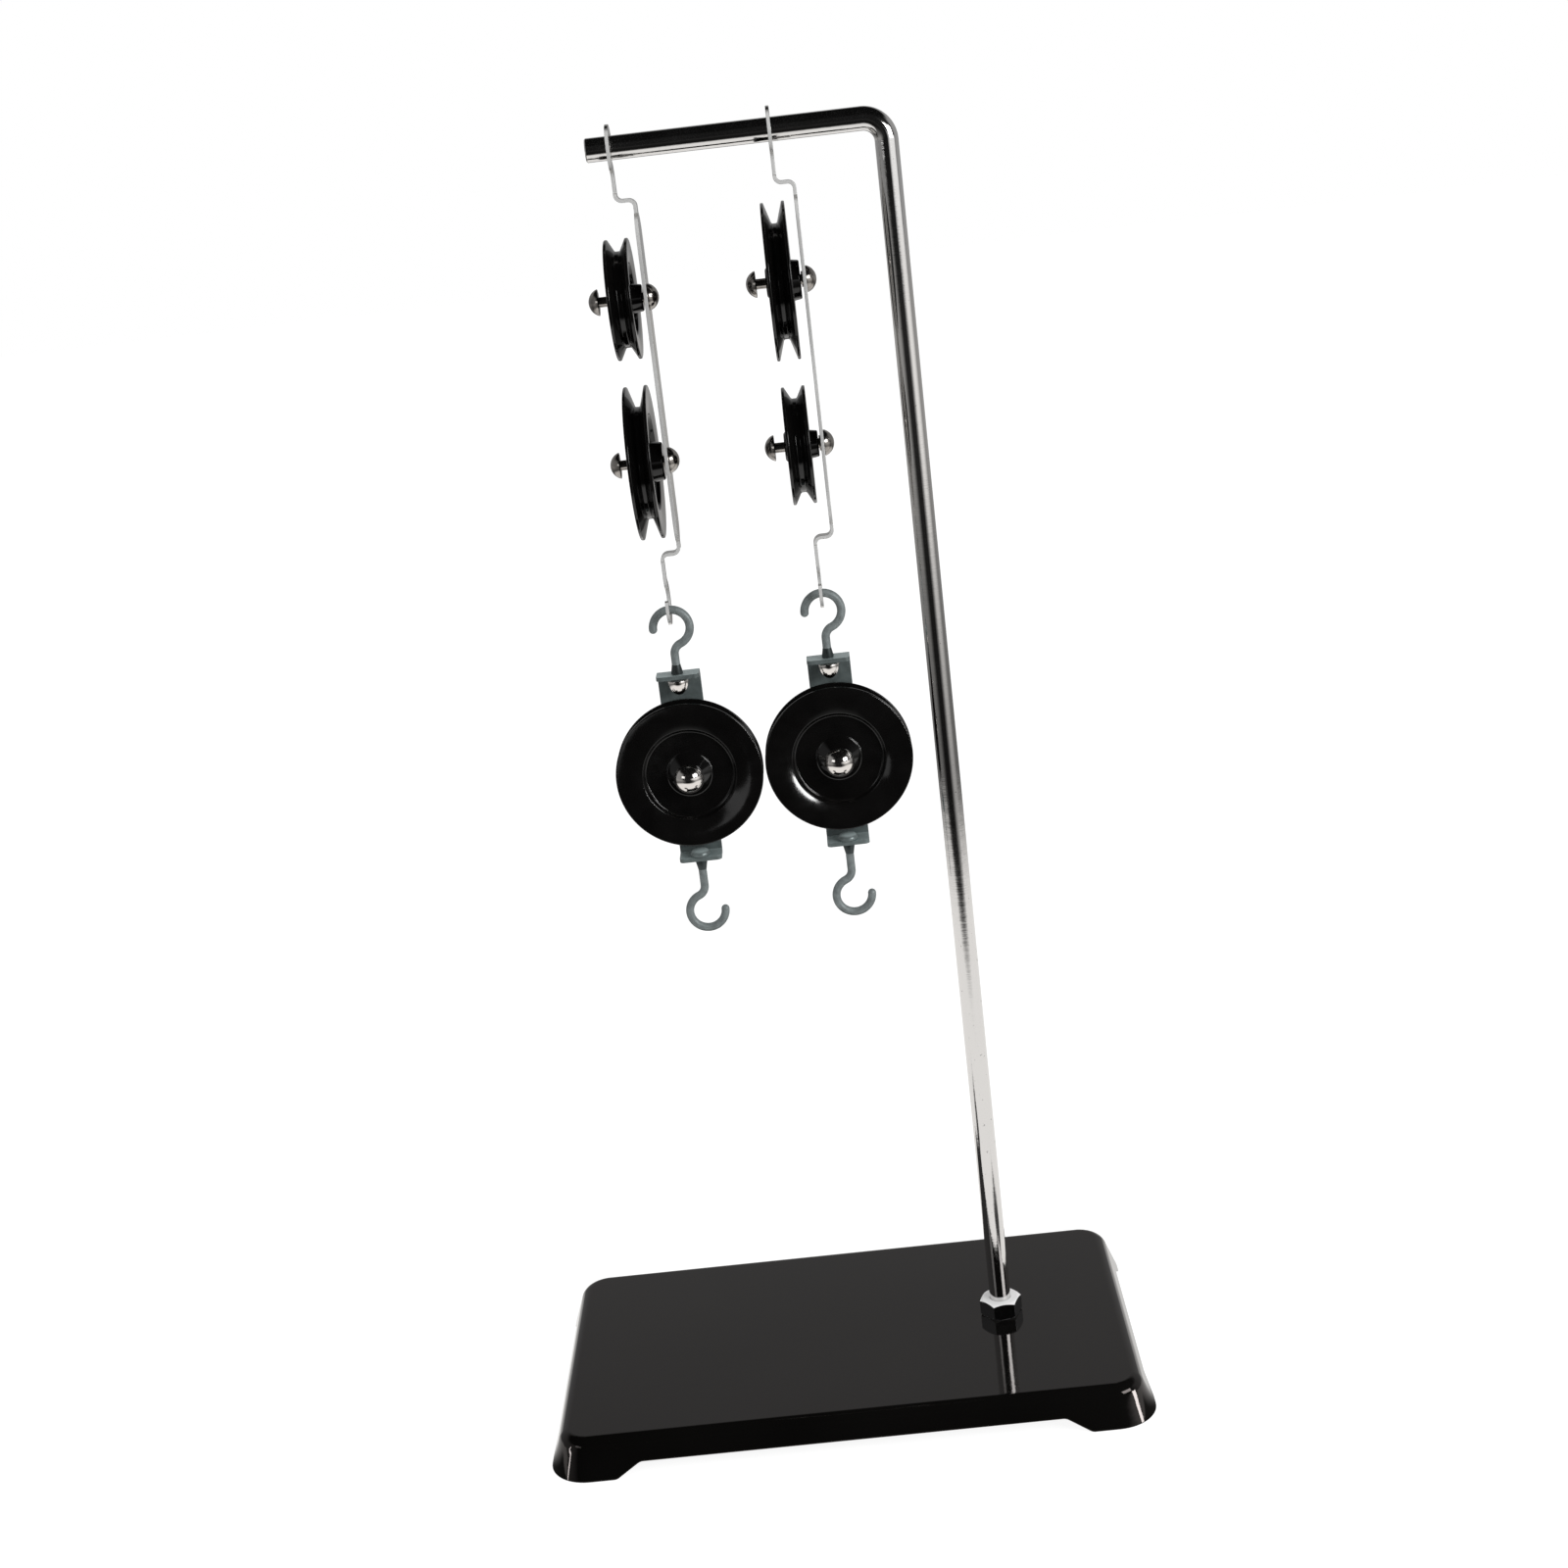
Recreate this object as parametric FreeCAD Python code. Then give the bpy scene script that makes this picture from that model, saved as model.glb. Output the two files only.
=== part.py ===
# Pulley demonstrator: two tandem pulleys hang on the arm of a cranked stand rod, and a single
# pulley with swivel hooks hangs from each of them.
# Millimetres.  The origin is on the table under the middle of the base.  +X runs along the base
# towards the rod, +Y away from the faces of the single pulleys, +Z up.

import FreeCAD
import Part
import math
import os

from FreeCAD import Vector

# ---------------------------------------------------------------- clearances
running_clearance = 0.05     # radial, between a shaft and the hole that turns on it
hanging_gap = 0.3            # between a hook and the round piece that it hangs on
end_play = 0.25              # along an axle or a swivel
rod_hole_clearance = 0.25    # radial, where the rod passes the base plate and the washer

# ---------------------------------------------------------------- base
base_top_length = 212.0      # along X, to where the top's face would meet the apron's
base_top_width = 126.0       # along Y, likewise
base_height = 14.2
base_wall = 2.0
base_flare = 5.2             # how far the apron leans out from the top to the floor
base_corner_radius = 10.0    # of the top, seen from above
base_edge_radius = 5.0       # outside, where the top rolls over into the apron
foot_height = 5.3            # gap under the apron between two feet
foot_length_front = 25.0     # along X, from the corner
foot_length_side = 20.0      # along Y, from the corner
foot_slope = 9.0             # run of the sloping end of a foot
foot_rounding = 4.0

# ---------------------------------------------------------------- rod and its fasteners
rod_diameter = 8.0
rod_edge_distance = 45.5     # from the end of the top to the rod's axis
arm_height = 446.3           # from the flat top to the arm's axis
bend_radius = 7.8            # of the rod's axis
arm_end_margin = 8.0         # arm beyond the outer hook
arm_end_chamfer = 0.4
thread_pitch = 1.25
thread_depth = 0.65
thread_tail = 1.4            # thread that stands out of the lower nut
nut_across_flats = 14.0
nut_height = 6.5
nut_turn = 7.0               # degrees that the nuts are turned about the rod
washer_diameter = 17.0
washer_thickness = 1.6

# ---------------------------------------------------------------- sheaves
large_sheave_diameter = 53.0
small_sheave_diameter = 40.6
sheave_width = 8.2
large_groove_depth = 7.1
small_groove_depth = 4.1
groove_lip = 1.0             # thickness of the rim at its edge
groove_root_width = 1.8
large_rim_band = 9.7         # radial width of the flat ring round the recess
small_rim_band = 8.0
web_thickness = 3.4
rim_dish = 0.6               # how far the ring's face leans inwards
free_boss = 0.9              # hub beyond the rim, on the side away from the frame
tandem_boss = 2.7            # hub beyond the rim, towards a tandem's frame
single_boss = 1.2            # hub beyond the rim, towards a single pulley's strap
large_hub_diameter = 13.0    # on the side of the frame
small_hub_diameter = 9.0     # on the free side, and on both sides of a small sheave
hub_taper = 0.8              # how much a hub and the recess widen or narrow towards the web
free_hub_taper = 3.6         # how much the hub on the free side widens towards the web

# ---------------------------------------------------------------- axle rivets
rivet_diameter = 3.5
tandem_head_diameter = 9.2
tandem_head_height = 3.5
single_head_diameter = 10.8
single_head_height = 3.9
rivet_shoulder_diameter = 5.4
rivet_shoulder_length = 0.5
bare_shank = 3.4             # between the hub and the free head

# ---------------------------------------------------------------- tandem frames
sheet_thickness = 1.2
frame_bend_radius = 1.6      # inside of a joggle's bends
frame_width = 16.0
frame_joggle = 6.3           # from the hooks' plane to the strip's
frame_hook_width = 3.4
frame_neck_width = 5.0
tandem_rim_gap = 9.2         # between the rims of the two sheaves
rim_to_joggle = 6.0          # from the large rim's height to the middle of the joggle
frame_hook_leg = 17.2        # from the joggle to the centre of the hook
frame_hook_play = 0.6        # hook's inner radius over the rod's
frame_hook_neck_radius = 4.0

# ---------------------------------------------------------------- single pulleys
strap_width = 15.4
strap_thickness = 1.5
strap_reach = 2.7            # flanges in front of the hooks' axis
strap_bend_radius = 0.6      # inside of a flange's bend
strap_corner_radius = 1.8
space_over_sheave = 10.1     # from the rim to the outside of the upper flange
space_under_sheave = 6.5     # from the rim to the outside of the lower flange
neighbour_gap = 0.9          # between the rims of the two single pulleys
rod_to_sheave_gap = 8.1      # between the rod and the rim beside it
wire_diameter = 3.0
wire_loop_radius = 6.5       # of the wire's axis
wire_neck_radius = 4.0
upper_shank = 7.3            # straight wire above the upper flange
lower_shank = 10.0           # straight wire below the lower flange
collar_diameter = 4.4
collar_height = 3.4
hook_head_diameter = 7.4
upper_head_rim_gap = 2.6     # between the upper hook's head and the rim
lower_head_rim_gap = 2.0

# ---------------------------------------------------------------- derived sizes
def seat_face(boss):
    """Face of the sheet that carries a sheave, from the sheave's middle plane along its axle."""
    return sheave_width / 2 + boss + end_play + rivet_shoulder_length


def neck_rise(loop_radius, neck_radius):
    """Height from a loop's centre to where its reversed bend meets the straight shank."""
    return math.sqrt(loop_radius ** 2 + 2 * loop_radius * neck_radius)


rod_radius = rod_diameter / 2
large_radius = large_sheave_diameter / 2
small_radius = small_sheave_diameter / 2
rivet_radius = rivet_diameter / 2
wire_radius = wire_diameter / 2
frame_outer_bend = frame_bend_radius + sheet_thickness

# Across a sheave, from its middle plane along its axle.
free_hub_face = sheave_width / 2 + free_boss
free_head_face = free_hub_face + bare_shank
strap_near_face = seat_face(single_boss)
strap_far_face = strap_near_face + strap_thickness

# Across a tandem frame, from the plane of its hooks.
strip_near_face = frame_joggle - sheet_thickness / 2
strip_far_face = frame_joggle + sheet_thickness / 2
wheel_shift = strip_near_face - seat_face(tandem_boss)

# Along a tandem frame, from the middle of its two axles.
axle_offset = (large_radius + small_radius + tandem_rim_gap) / 2
joggle_offset = axle_offset + large_radius + rim_to_joggle
hook_offset = joggle_offset + frame_hook_leg
frame_hook_inner = rod_radius + frame_hook_play
frame_hook_mid = frame_hook_inner + frame_hook_width / 2

# Along a single pulley, from the middle of its sheave.
strap_top = large_radius + space_over_sheave
strap_bottom = -(large_radius + space_under_sheave)
wire_neck_rise = neck_rise(wire_loop_radius, wire_neck_radius)
frame_neck_rise = neck_rise(frame_hook_mid, frame_hook_neck_radius)
upper_loop_centre = strap_top + upper_shank + wire_neck_rise
lower_loop_centre = strap_bottom - lower_shank - wire_neck_rise
upper_head_height = space_over_sheave - strap_thickness - end_play - upper_head_rim_gap
lower_head_height = space_under_sheave - strap_thickness - end_play - lower_head_rim_gap

# Places in the whole part.
rod_x = base_top_length / 2 - rod_edge_distance
arm_z = base_height + arm_height
right_x = rod_x - rod_radius - rod_to_sheave_gap - large_radius
left_x = right_x - large_sheave_diameter - neighbour_gap
arm_end_x = left_x - arm_end_margin
tandem_z = arm_z - (frame_hook_inner - rod_radius - hanging_gap) - hook_offset
link_z = tandem_z - hook_offset - (frame_hook_inner - wire_radius - hanging_gap)
single_z = link_z - wire_loop_radius - upper_loop_centre


# ---------------------------------------------------------------- drawing helpers
def on_xy(z):
    """Map of a drawing's two coordinates onto the level plane at height z."""
    return lambda u, v: Vector(u, v, z)


def on_xz(y):
    """Map of a drawing's two coordinates onto the upright plane across Y at y."""
    return lambda u, v: Vector(u, y, v)


def on_yz(x):
    """Map of a drawing's two coordinates onto the upright plane across X at x."""
    return lambda u, v: Vector(x, u, v)


def rounded_wire(corners, place):
    """Closed wire through corners (u, v, radius), each rounded by a tangent arc."""
    starts, middles, ends = [], [], []
    for index, (u, v, radius) in enumerate(corners):
        here = Vector(u, v, 0)
        before = Vector(*corners[index - 1][:2], 0) - here
        after = Vector(*corners[(index + 1) % len(corners)][:2], 0) - here
        before.normalize()
        after.normalize()
        half = before.getAngle(after) / 2
        bisector = before + after
        if radius > 0:
            bisector.normalize()
        starts.append(here + before * (radius / math.tan(half)))
        ends.append(here + after * (radius / math.tan(half)))
        middles.append(here + bisector * (radius / math.sin(half) - radius))
    edges = []
    for index, (u, v, radius) in enumerate(corners):
        start, middle, end = [place(p.x, p.y) for p in (starts[index], middles[index], ends[index])]
        following = starts[(index + 1) % len(corners)]
        following = place(following.x, following.y)
        if radius > 0:
            edges.append(Part.Arc(start, middle, end).toShape())
        if end.distanceToPoint(following) > 1e-6:
            edges.append(Part.makeLine(end, following))
    return Part.Wire(edges)


def rounded_face(corners, place):
    """Face inside a rounded outline."""
    return Part.Face(rounded_wire(corners, place))


def rectangle(length, width, radius):
    """Corners of a rectangle about the middle of its drawing."""
    half_length, half_width = length / 2, width / 2
    signs = ((-1, -1), (1, -1), (1, 1), (-1, 1))
    return [(i * half_length, j * half_width, radius) for i, j in signs]


def band_face(centre_u, centre_v, mid_radius, width, start, end, place):
    """Part of a flat ring, from one angle in degrees to a larger one."""
    def point(radius, degrees):
        angle = math.radians(degrees)
        return place(centre_u + radius * math.cos(angle), centre_v + radius * math.sin(angle))

    inner, outer = mid_radius - width / 2, mid_radius + width / 2
    middle = (start + end) / 2
    return Part.Face(Part.Wire([
        Part.Arc(point(outer, start), point(outer, middle), point(outer, end)).toShape(),
        Part.makeLine(point(outer, end), point(inner, end)),
        Part.Arc(point(inner, end), point(inner, middle), point(inner, start)).toShape(),
        Part.makeLine(point(inner, start), point(outer, start)),
    ]))


def turned(face, centre, axis):
    """Solid of revolution."""
    return face.revolve(centre, axis, 360)


def ring(outer_radius, inner_radius, z, height):
    """Upright tube about the Z axis."""
    tube = Part.makeCylinder(outer_radius, height, Vector(0, 0, z))
    return tube.cut(Part.makeCylinder(inner_radius, height, Vector(0, 0, z)))


def joined(solids):
    """One solid from pieces that touch or overlap."""
    return solids[0].fuse(solids[1:]).removeSplitter().Solids[0]


def moved(shape, x, y, z):
    """Copy of a shape at another place."""
    copy = shape.copy()
    copy.translate(Vector(x, y, z))
    return copy


def spun(shape, axis, degrees):
    """Copy of a shape turned about an axis through the origin."""
    copy = shape.copy()
    copy.rotate(Vector(0, 0, 0), axis, degrees)
    return copy


# ---------------------------------------------------------------- base plate
def base_block(inset, top, bottom):
    """Solid between the sloping sides of the apron, set in by a wall."""
    def outline(z):
        lean = 2 * base_flare * (1 - z / base_height)
        radius = base_corner_radius + lean / 2 - inset
        corners = rectangle(base_top_length + lean - 2 * inset,
                            base_top_width + lean - 2 * inset, max(radius, 1.0))
        return rounded_wire(corners, on_xy(z))

    return Part.makeLoft([outline(bottom), outline(top)], True, True)


def foot_gap(total_length, foot_length):
    """Outline of the gap between two feet, wider than the base below the floor."""
    half = total_length / 2
    low = half - foot_length
    high = low - foot_slope
    outside = half + foot_length
    return [(-high, foot_height, foot_rounding), (high, foot_height, foot_rounding),
            (low, 0, foot_rounding), (outside, 0, 0), (outside, -base_height, 0),
            (-outside, -base_height, 0), (-outside, 0, 0), (-low, 0, foot_rounding)]


def rolled_top(block, top, radius):
    """The block with the edge round its top face rolled over."""
    rim = [edge for edge in block.Edges
           if all(abs(vertex.Z - top) < 1e-6 for vertex in edge.Vertexes)]
    return block.makeFillet(radius, rim) if radius > 0.1 else block


def base_plate():
    """Pressed steel shell on four corner feet."""
    outside = rolled_top(base_block(0, base_height, 0), base_height, base_edge_radius)
    under = base_height - base_wall
    hollow = rolled_top(base_block(base_wall, under, -base_wall), under,
                        base_edge_radius - base_wall)
    shell = outside.cut(hollow)
    length = base_top_length + 2 * base_flare
    width = base_top_width + 2 * base_flare
    along_x = rounded_face(foot_gap(length, foot_length_front), on_xz(-width))
    along_y = rounded_face(foot_gap(width, foot_length_side), on_yz(-length))
    shell = shell.cut(along_x.extrude(Vector(0, 2 * width, 0)))
    shell = shell.cut(along_y.extrude(Vector(2 * length, 0, 0)))
    hole = Part.makeCylinder(rod_radius + rod_hole_clearance, base_height, Vector(rod_x, 0, 0))
    return shell.cut(hole)


# ---------------------------------------------------------------- rod, nuts and washer
def threaded_end(bottom, top):
    """Threaded stretch of the rod, as ridges without a lead."""
    count = int((top - bottom) / thread_pitch)
    start = top - count * thread_pitch
    root = rod_radius - thread_depth
    points = [(0, bottom), (root, bottom), (root, start)]
    for index in range(count):
        foot = start + index * thread_pitch
        points += [(rod_radius, foot + thread_pitch / 2), (root, foot + thread_pitch)]
    points += [(0, top)]
    return turned(rounded_face([(u, v, 0) for u, v in points], on_xz(0)),
                  Vector(0, 0, 0), Vector(0, 0, 1))


def stand_rod():
    """Round bar, cranked into the arm, with a thread through the base."""
    plain_start = base_height + nut_height
    thread_bottom = base_height - base_wall - washer_thickness - nut_height - thread_tail
    bend_z = arm_z - bend_radius
    bend_x = rod_x - bend_radius
    thread = moved(threaded_end(thread_bottom, plain_start), rod_x, 0, 0)
    upright = Part.makeCylinder(rod_radius, bend_z - plain_start, Vector(rod_x, 0, plain_start))
    section = Part.Face(Part.Wire(Part.makeCircle(rod_radius, Vector(rod_x, 0, bend_z))))
    bend = section.revolve(Vector(bend_x, 0, bend_z), Vector(0, -1, 0), 90)
    tip = Part.makeCylinder(rod_radius, bend_x - arm_end_x, Vector(arm_end_x, 0, arm_z),
                            Vector(1, 0, 0))
    end_edge = [edge for edge in tip.Edges
                if all(abs(vertex.X - arm_end_x) < 1e-6 for vertex in edge.Vertexes)]
    arm = tip.makeChamfer(arm_end_chamfer, end_edge)
    return joined([upright, bend, arm, thread])


def hex_nut(z):
    """Hexagon nut with both faces chamfered, its lower face at z."""
    corner = nut_across_flats / 2 / math.cos(math.radians(30))
    corners = [(corner * math.cos(math.radians(60 * i)), corner * math.sin(math.radians(60 * i)), 0)
               for i in range(6)]
    prism = rounded_face(corners, on_xy(0)).extrude(Vector(0, 0, nut_height))
    flat_radius = nut_across_flats * 0.485
    slope = (corner - flat_radius) * math.tan(math.radians(30))
    outline = [(0, 0, 0), (flat_radius, 0, 0), (corner, slope, 0), (corner, nut_height - slope, 0),
               (flat_radius, nut_height, 0), (0, nut_height, 0)]
    nut = prism.common(turned(rounded_face(outline, on_xz(0)), Vector(0, 0, 0), Vector(0, 0, 1)))
    nut = nut.cut(Part.makeCylinder(rod_radius + running_clearance, nut_height))
    return moved(spun(nut, Vector(0, 0, 1), nut_turn), rod_x, 0, z)


def rod_washer():
    """Plain washer between the base and the lower nut."""
    top = base_height - base_wall
    washer = ring(washer_diameter / 2, rod_radius + rod_hole_clearance, top - washer_thickness,
                  washer_thickness)
    return moved(washer, rod_x, 0, 0)


# ---------------------------------------------------------------- sheaves and axle rivets
def sheave(radius, groove_depth, rim_band, hub_diameter, boss):
    """Grooved wheel on the X axis.  Its hub towards +X is the one next to the frame."""
    face = sheave_width / 2
    hub_face = face + boss
    dished = face - rim_dish
    web = web_thickness / 2
    recess = radius - rim_band
    root = radius - groove_depth
    root_half = groove_root_width / 2
    bore = rivet_radius + running_clearance
    front_hub = hub_diameter / 2
    back_hub = small_hub_diameter / 2
    corners = [
        (hub_face, bore, 0), (hub_face, front_hub, 0.4), (web, front_hub + hub_taper, 0.8),
        (web, recess - hub_taper, 1.0), (dished, recess, 0.5), (face, radius - groove_lip, 0),
        (face, radius, 0.4), (face - groove_lip, radius, 0.3), (root_half, root, 0.7),
        (-root_half, root, 0.7), (groove_lip - face, radius, 0.3), (-face, radius, 0.4),
        (-face, radius - groove_lip, 0), (-dished, recess, 0.5), (-web, recess - hub_taper, 1.0),
        (-web, back_hub + free_hub_taper, 0.8), (-free_hub_face, back_hub, 0.4),
        (-free_hub_face, bore, 0),
    ]
    return turned(rounded_face(corners, on_xy(0)), Vector(0, 0, 0), Vector(1, 0, 0))


def large_sheave(boss):
    """Sheave of the single pulleys and of one end of each tandem."""
    return sheave(large_radius, large_groove_depth, large_rim_band, large_hub_diameter, boss)


def small_sheave(boss):
    """Sheave of the other end of each tandem."""
    return sheave(small_radius, small_groove_depth, small_rim_band, small_hub_diameter, boss)


def dome_arc(base, half, height, side):
    """Arc of a domed head from its edge to its crown on the X axis."""
    sphere = (half ** 2 + height ** 2) / (2 * height)
    angle = math.asin(half / sphere) / 2
    crown = base + side * height
    middle = Vector(crown - side * sphere * (1 - math.cos(angle)), sphere * math.sin(angle), 0)
    return Part.Arc(Vector(base, half, 0), middle, Vector(crown, 0, 0)).toShape()


def axle_rivet(boss, thickness, head_diameter, head_height):
    """Rivet on the X axis that carries one sheave and is fast in a sheet of the frame."""
    half = head_diameter / 2
    shoulder = rivet_shoulder_diameter / 2
    near = seat_face(boss)
    far = near + thickness
    steps = [(-free_head_face, half), (-free_head_face, rivet_radius),
             (near - rivet_shoulder_length, rivet_radius), (near - rivet_shoulder_length, shoulder),
             (near, shoulder), (near, rivet_radius), (far, rivet_radius), (far, half)]
    points = [Vector(x, radius, 0) for x, radius in steps]
    edges = [Part.makeLine(a, b) for a, b in zip(points, points[1:])]
    edges.insert(0, dome_arc(-free_head_face, half, head_height, -1))
    edges.append(dome_arc(far, half, head_height, 1))
    edges.append(Part.makeLine(Vector(far + head_height, 0, 0),
                               Vector(-free_head_face - head_height, 0, 0)))
    wire = Part.Wire(Part.__sortEdges__(edges))
    return turned(Part.Face(wire), Vector(0, 0, 0), Vector(1, 0, 0))


# ---------------------------------------------------------------- tandem frame
def frame_side_profile():
    """Edge view of the sheet: the hooks' plane, a joggle, the strip and a joggle back."""
    half = sheet_thickness / 2
    end = hook_offset + frame_hook_mid + frame_hook_width
    inner, outer = frame_bend_radius, frame_outer_bend
    near, far = strip_near_face, strip_far_face
    low, high = joggle_offset - half, joggle_offset + half
    corners = [(-half, end, 0), (-half, low, outer), (near, low, inner), (near, -low, inner),
               (-half, -low, outer), (-half, -end, 0), (half, -end, 0), (half, -high, inner),
               (far, -high, outer), (far, high, outer), (half, high, inner), (half, end, 0)]
    face = rounded_face(corners, on_xz(-frame_width))
    return face.extrude(Vector(0, 2 * frame_width, 0))


def frame_hook_outline(place):
    """Faces of the upper hook seen along X: tip behind, bend in front, neck on the axis."""
    reach = hook_offset - frame_neck_rise
    lean = math.degrees(math.atan2(frame_neck_rise, frame_hook_neck_radius))
    half = frame_hook_width / 2
    loop = band_face(0, hook_offset, frame_hook_mid, frame_hook_width, 0, 180 + lean, place)
    neck = band_face(-frame_hook_neck_radius, reach, frame_hook_neck_radius, frame_hook_width,
                     0, lean, place)
    tip = Part.Face(Part.Wire(Part.makeCircle(half, place(frame_hook_mid, hook_offset),
                                              Vector(1, 0, 0))))
    inside = joggle_offset - frame_width
    leg = rounded_face([(-half, inside, 0), (half, inside, 0), (half, reach, 0),
                        (-half, reach, 0)], place)
    root = frame_neck_width / 2
    root_top = joggle_offset + frame_outer_bend
    base = rounded_face([(-root, inside, 0), (root, inside, 0), (root, root_top, 1.2),
                         (-root, root_top, 1.2)], place)
    return [loop, neck, tip, leg, base]


def tandem_frame():
    """Stamped strip with a hook at each end, the same when turned end for end."""
    start = -sheet_thickness
    depth = strip_far_face + 2 * sheet_thickness
    place = on_yz(start)
    strip_end = joggle_offset - frame_outer_bend - sheet_thickness
    strip = rounded_face(rectangle(frame_width, 2 * strip_end, frame_width * 0.49), place)
    upper = [face.extrude(Vector(depth, 0, 0)) for face in frame_hook_outline(place)]
    lower = [spun(solid, Vector(1, 0, 0), 180) for solid in upper]
    outline = joined([strip.extrude(Vector(depth, 0, 0))] + upper + lower)
    sheet = frame_side_profile().common(outline)
    for z in (-axle_offset, axle_offset):
        hole = Part.makeCylinder(rivet_radius + running_clearance, depth, Vector(start, 0, z),
                                 Vector(1, 0, 0))
        sheet = sheet.cut(hole)
    return sheet.Solids[0]


# ---------------------------------------------------------------- single pulley
def strap_frame():
    """Strap behind the sheave, with a flange bent forwards over and under it."""
    inner, outer = strap_bend_radius, strap_bend_radius + strap_thickness
    near, far = strap_near_face, strap_far_face
    top, bottom = strap_top, strap_bottom
    side = [(far, top, outer), (-strap_reach, top, 0), (-strap_reach, top - strap_thickness, 0),
            (near, top - strap_thickness, inner), (near, bottom + strap_thickness, inner),
            (-strap_reach, bottom + strap_thickness, 0), (-strap_reach, bottom, 0),
            (far, bottom, outer)]
    half = strap_width / 2
    strap = rounded_face(side, on_yz(-half)).extrude(Vector(strap_width, 0, 0))
    plan = [(-half, -strap_reach, strap_corner_radius), (half, -strap_reach, strap_corner_radius),
            (half, far, 0), (-half, far, 0)]
    height = top - bottom
    strap = strap.common(rounded_face(plan, on_xy(bottom)).extrude(Vector(0, 0, height)))
    swivel = Part.makeCylinder(wire_radius + running_clearance, height, Vector(0, 0, bottom))
    axle = Part.makeCylinder(rivet_radius + running_clearance, far, Vector(0, 0, 0),
                             Vector(0, 1, 0))
    return strap.cut(swivel).cut(axle)


def bent_wire(centre_x, centre_z, radius, start, sweep):
    """Round wire bent about a point in the XZ plane, angles in degrees from +X to +Z."""
    angle = math.radians(start)
    middle = Vector(centre_x + radius * math.cos(angle), 0, centre_z + radius * math.sin(angle))
    tangent = Vector(-math.sin(angle), 0, math.cos(angle))
    section = Part.Face(Part.Wire(Part.makeCircle(wire_radius, middle, tangent)))
    return section.revolve(Vector(centre_x, 0, centre_z), Vector(0, -1, 0), sweep)


def wire_hook(shank, head_height):
    """Open wire hook about its loop's centre, its shank down through a flange to its head."""
    rise = wire_neck_rise
    lean = math.degrees(math.atan2(rise, wire_neck_radius))
    loop = bent_wire(0, 0, wire_loop_radius, -lean, 180 + lean)
    neck = bent_wire(wire_neck_radius, -rise, wire_neck_radius, 180 - lean, lean)
    tip = Part.makeSphere(wire_radius, Vector(-wire_loop_radius, 0, 0))
    flange = -rise - shank
    collar_z = flange + end_play
    head_z = flange - strap_thickness - end_play
    straight = Part.makeCylinder(wire_radius, -rise - head_z, Vector(0, 0, head_z))
    collar = Part.makeCone(collar_diameter / 2, wire_radius, collar_height,
                           Vector(0, 0, collar_z))
    half = hook_head_diameter / 2
    dome = min(half, head_height * 0.7)
    corners = [(0, head_z, 0), (half, head_z, 0.3), (half, head_z - head_height, dome * 0.95),
               (0, head_z - head_height, 0)]
    head = turned(rounded_face(corners, on_xz(0)), Vector(0, 0, 0), Vector(0, 0, 1))
    return joined([loop, neck, tip, straight, collar, head])


def upper_hook():
    """Hook over a single pulley, open to the left, about its sheave's centre."""
    return moved(wire_hook(upper_shank, upper_head_height), 0, 0, upper_loop_centre)


def lower_hook():
    """Hook under a single pulley, open to the right, about its sheave's centre."""
    turned_over = spun(wire_hook(lower_shank, lower_head_height), Vector(0, 1, 0), 180)
    return moved(turned_over, 0, 0, lower_loop_centre)


# ---------------------------------------------------------------- assembly
def stand():
    """Pieces that stay still."""
    lower_nut_z = base_height - base_wall - washer_thickness - nut_height
    return {"base_plate": base_plate(), "stand_rod": stand_rod(), "upper_nut": hex_nut(base_height),
            "lower_nut": hex_nut(lower_nut_z), "rod_washer": rod_washer()}


def tandem(side, x, large_z, small_z):
    """One tandem pulley, its frame's middle at x, with each sheave at its own height."""
    pieces = {"frame": moved(tandem_frame(), x, 0, tandem_z)}
    rivet = axle_rivet(tandem_boss, sheet_thickness, tandem_head_diameter, tandem_head_height)
    for name, wheel, z in (("large", large_sheave, large_z), ("small", small_sheave, small_z)):
        place = (x + wheel_shift, 0, tandem_z + z)
        pieces[name + "_sheave"] = moved(wheel(tandem_boss), *place)
        pieces[name + "_axle"] = moved(rivet, *place)
    return {side + "_tandem_" + name: piece for name, piece in pieces.items()}


def single(side, x):
    """One single pulley with its two swivel hooks, its sheave's face towards -Y."""
    z_axis = Vector(0, 0, 1)
    rivet = axle_rivet(single_boss, strap_thickness, single_head_diameter, single_head_height)
    pieces = {"strap": strap_frame(), "sheave": spun(large_sheave(single_boss), z_axis, 90),
              "axle": spun(rivet, z_axis, 90),
              "upper_hook": upper_hook(), "lower_hook": lower_hook()}
    return {side + "_single_" + name: moved(piece, x, 0, single_z)
            for name, piece in pieces.items()}


def main():
    """Write one STEP file for each piece."""
    os.makedirs("parts", exist_ok=True)
    pieces = stand()
    pieces.update(tandem("left", left_x, -axle_offset, axle_offset))
    pieces.update(tandem("right", right_x, axle_offset, -axle_offset))
    pieces.update(single("left", left_x))
    pieces.update(single("right", right_x))
    for name, piece in pieces.items():
        piece.exportStep("parts/" + name + ".step")
        box = piece.BoundBox
        print("%-26s valid %s volume %9.1f  x %.1f..%.1f y %.1f..%.1f z %.1f..%.1f" % (
            name, piece.isValid(), piece.Volume, box.XMin, box.XMax, box.YMin, box.YMax,
            box.ZMin, box.ZMax))


main()
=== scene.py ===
import math

import bmesh
import bpy
from bpy.props import FloatProperty, FloatVectorProperty, IntProperty, PointerProperty
from mathutils import Matrix, Vector

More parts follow.
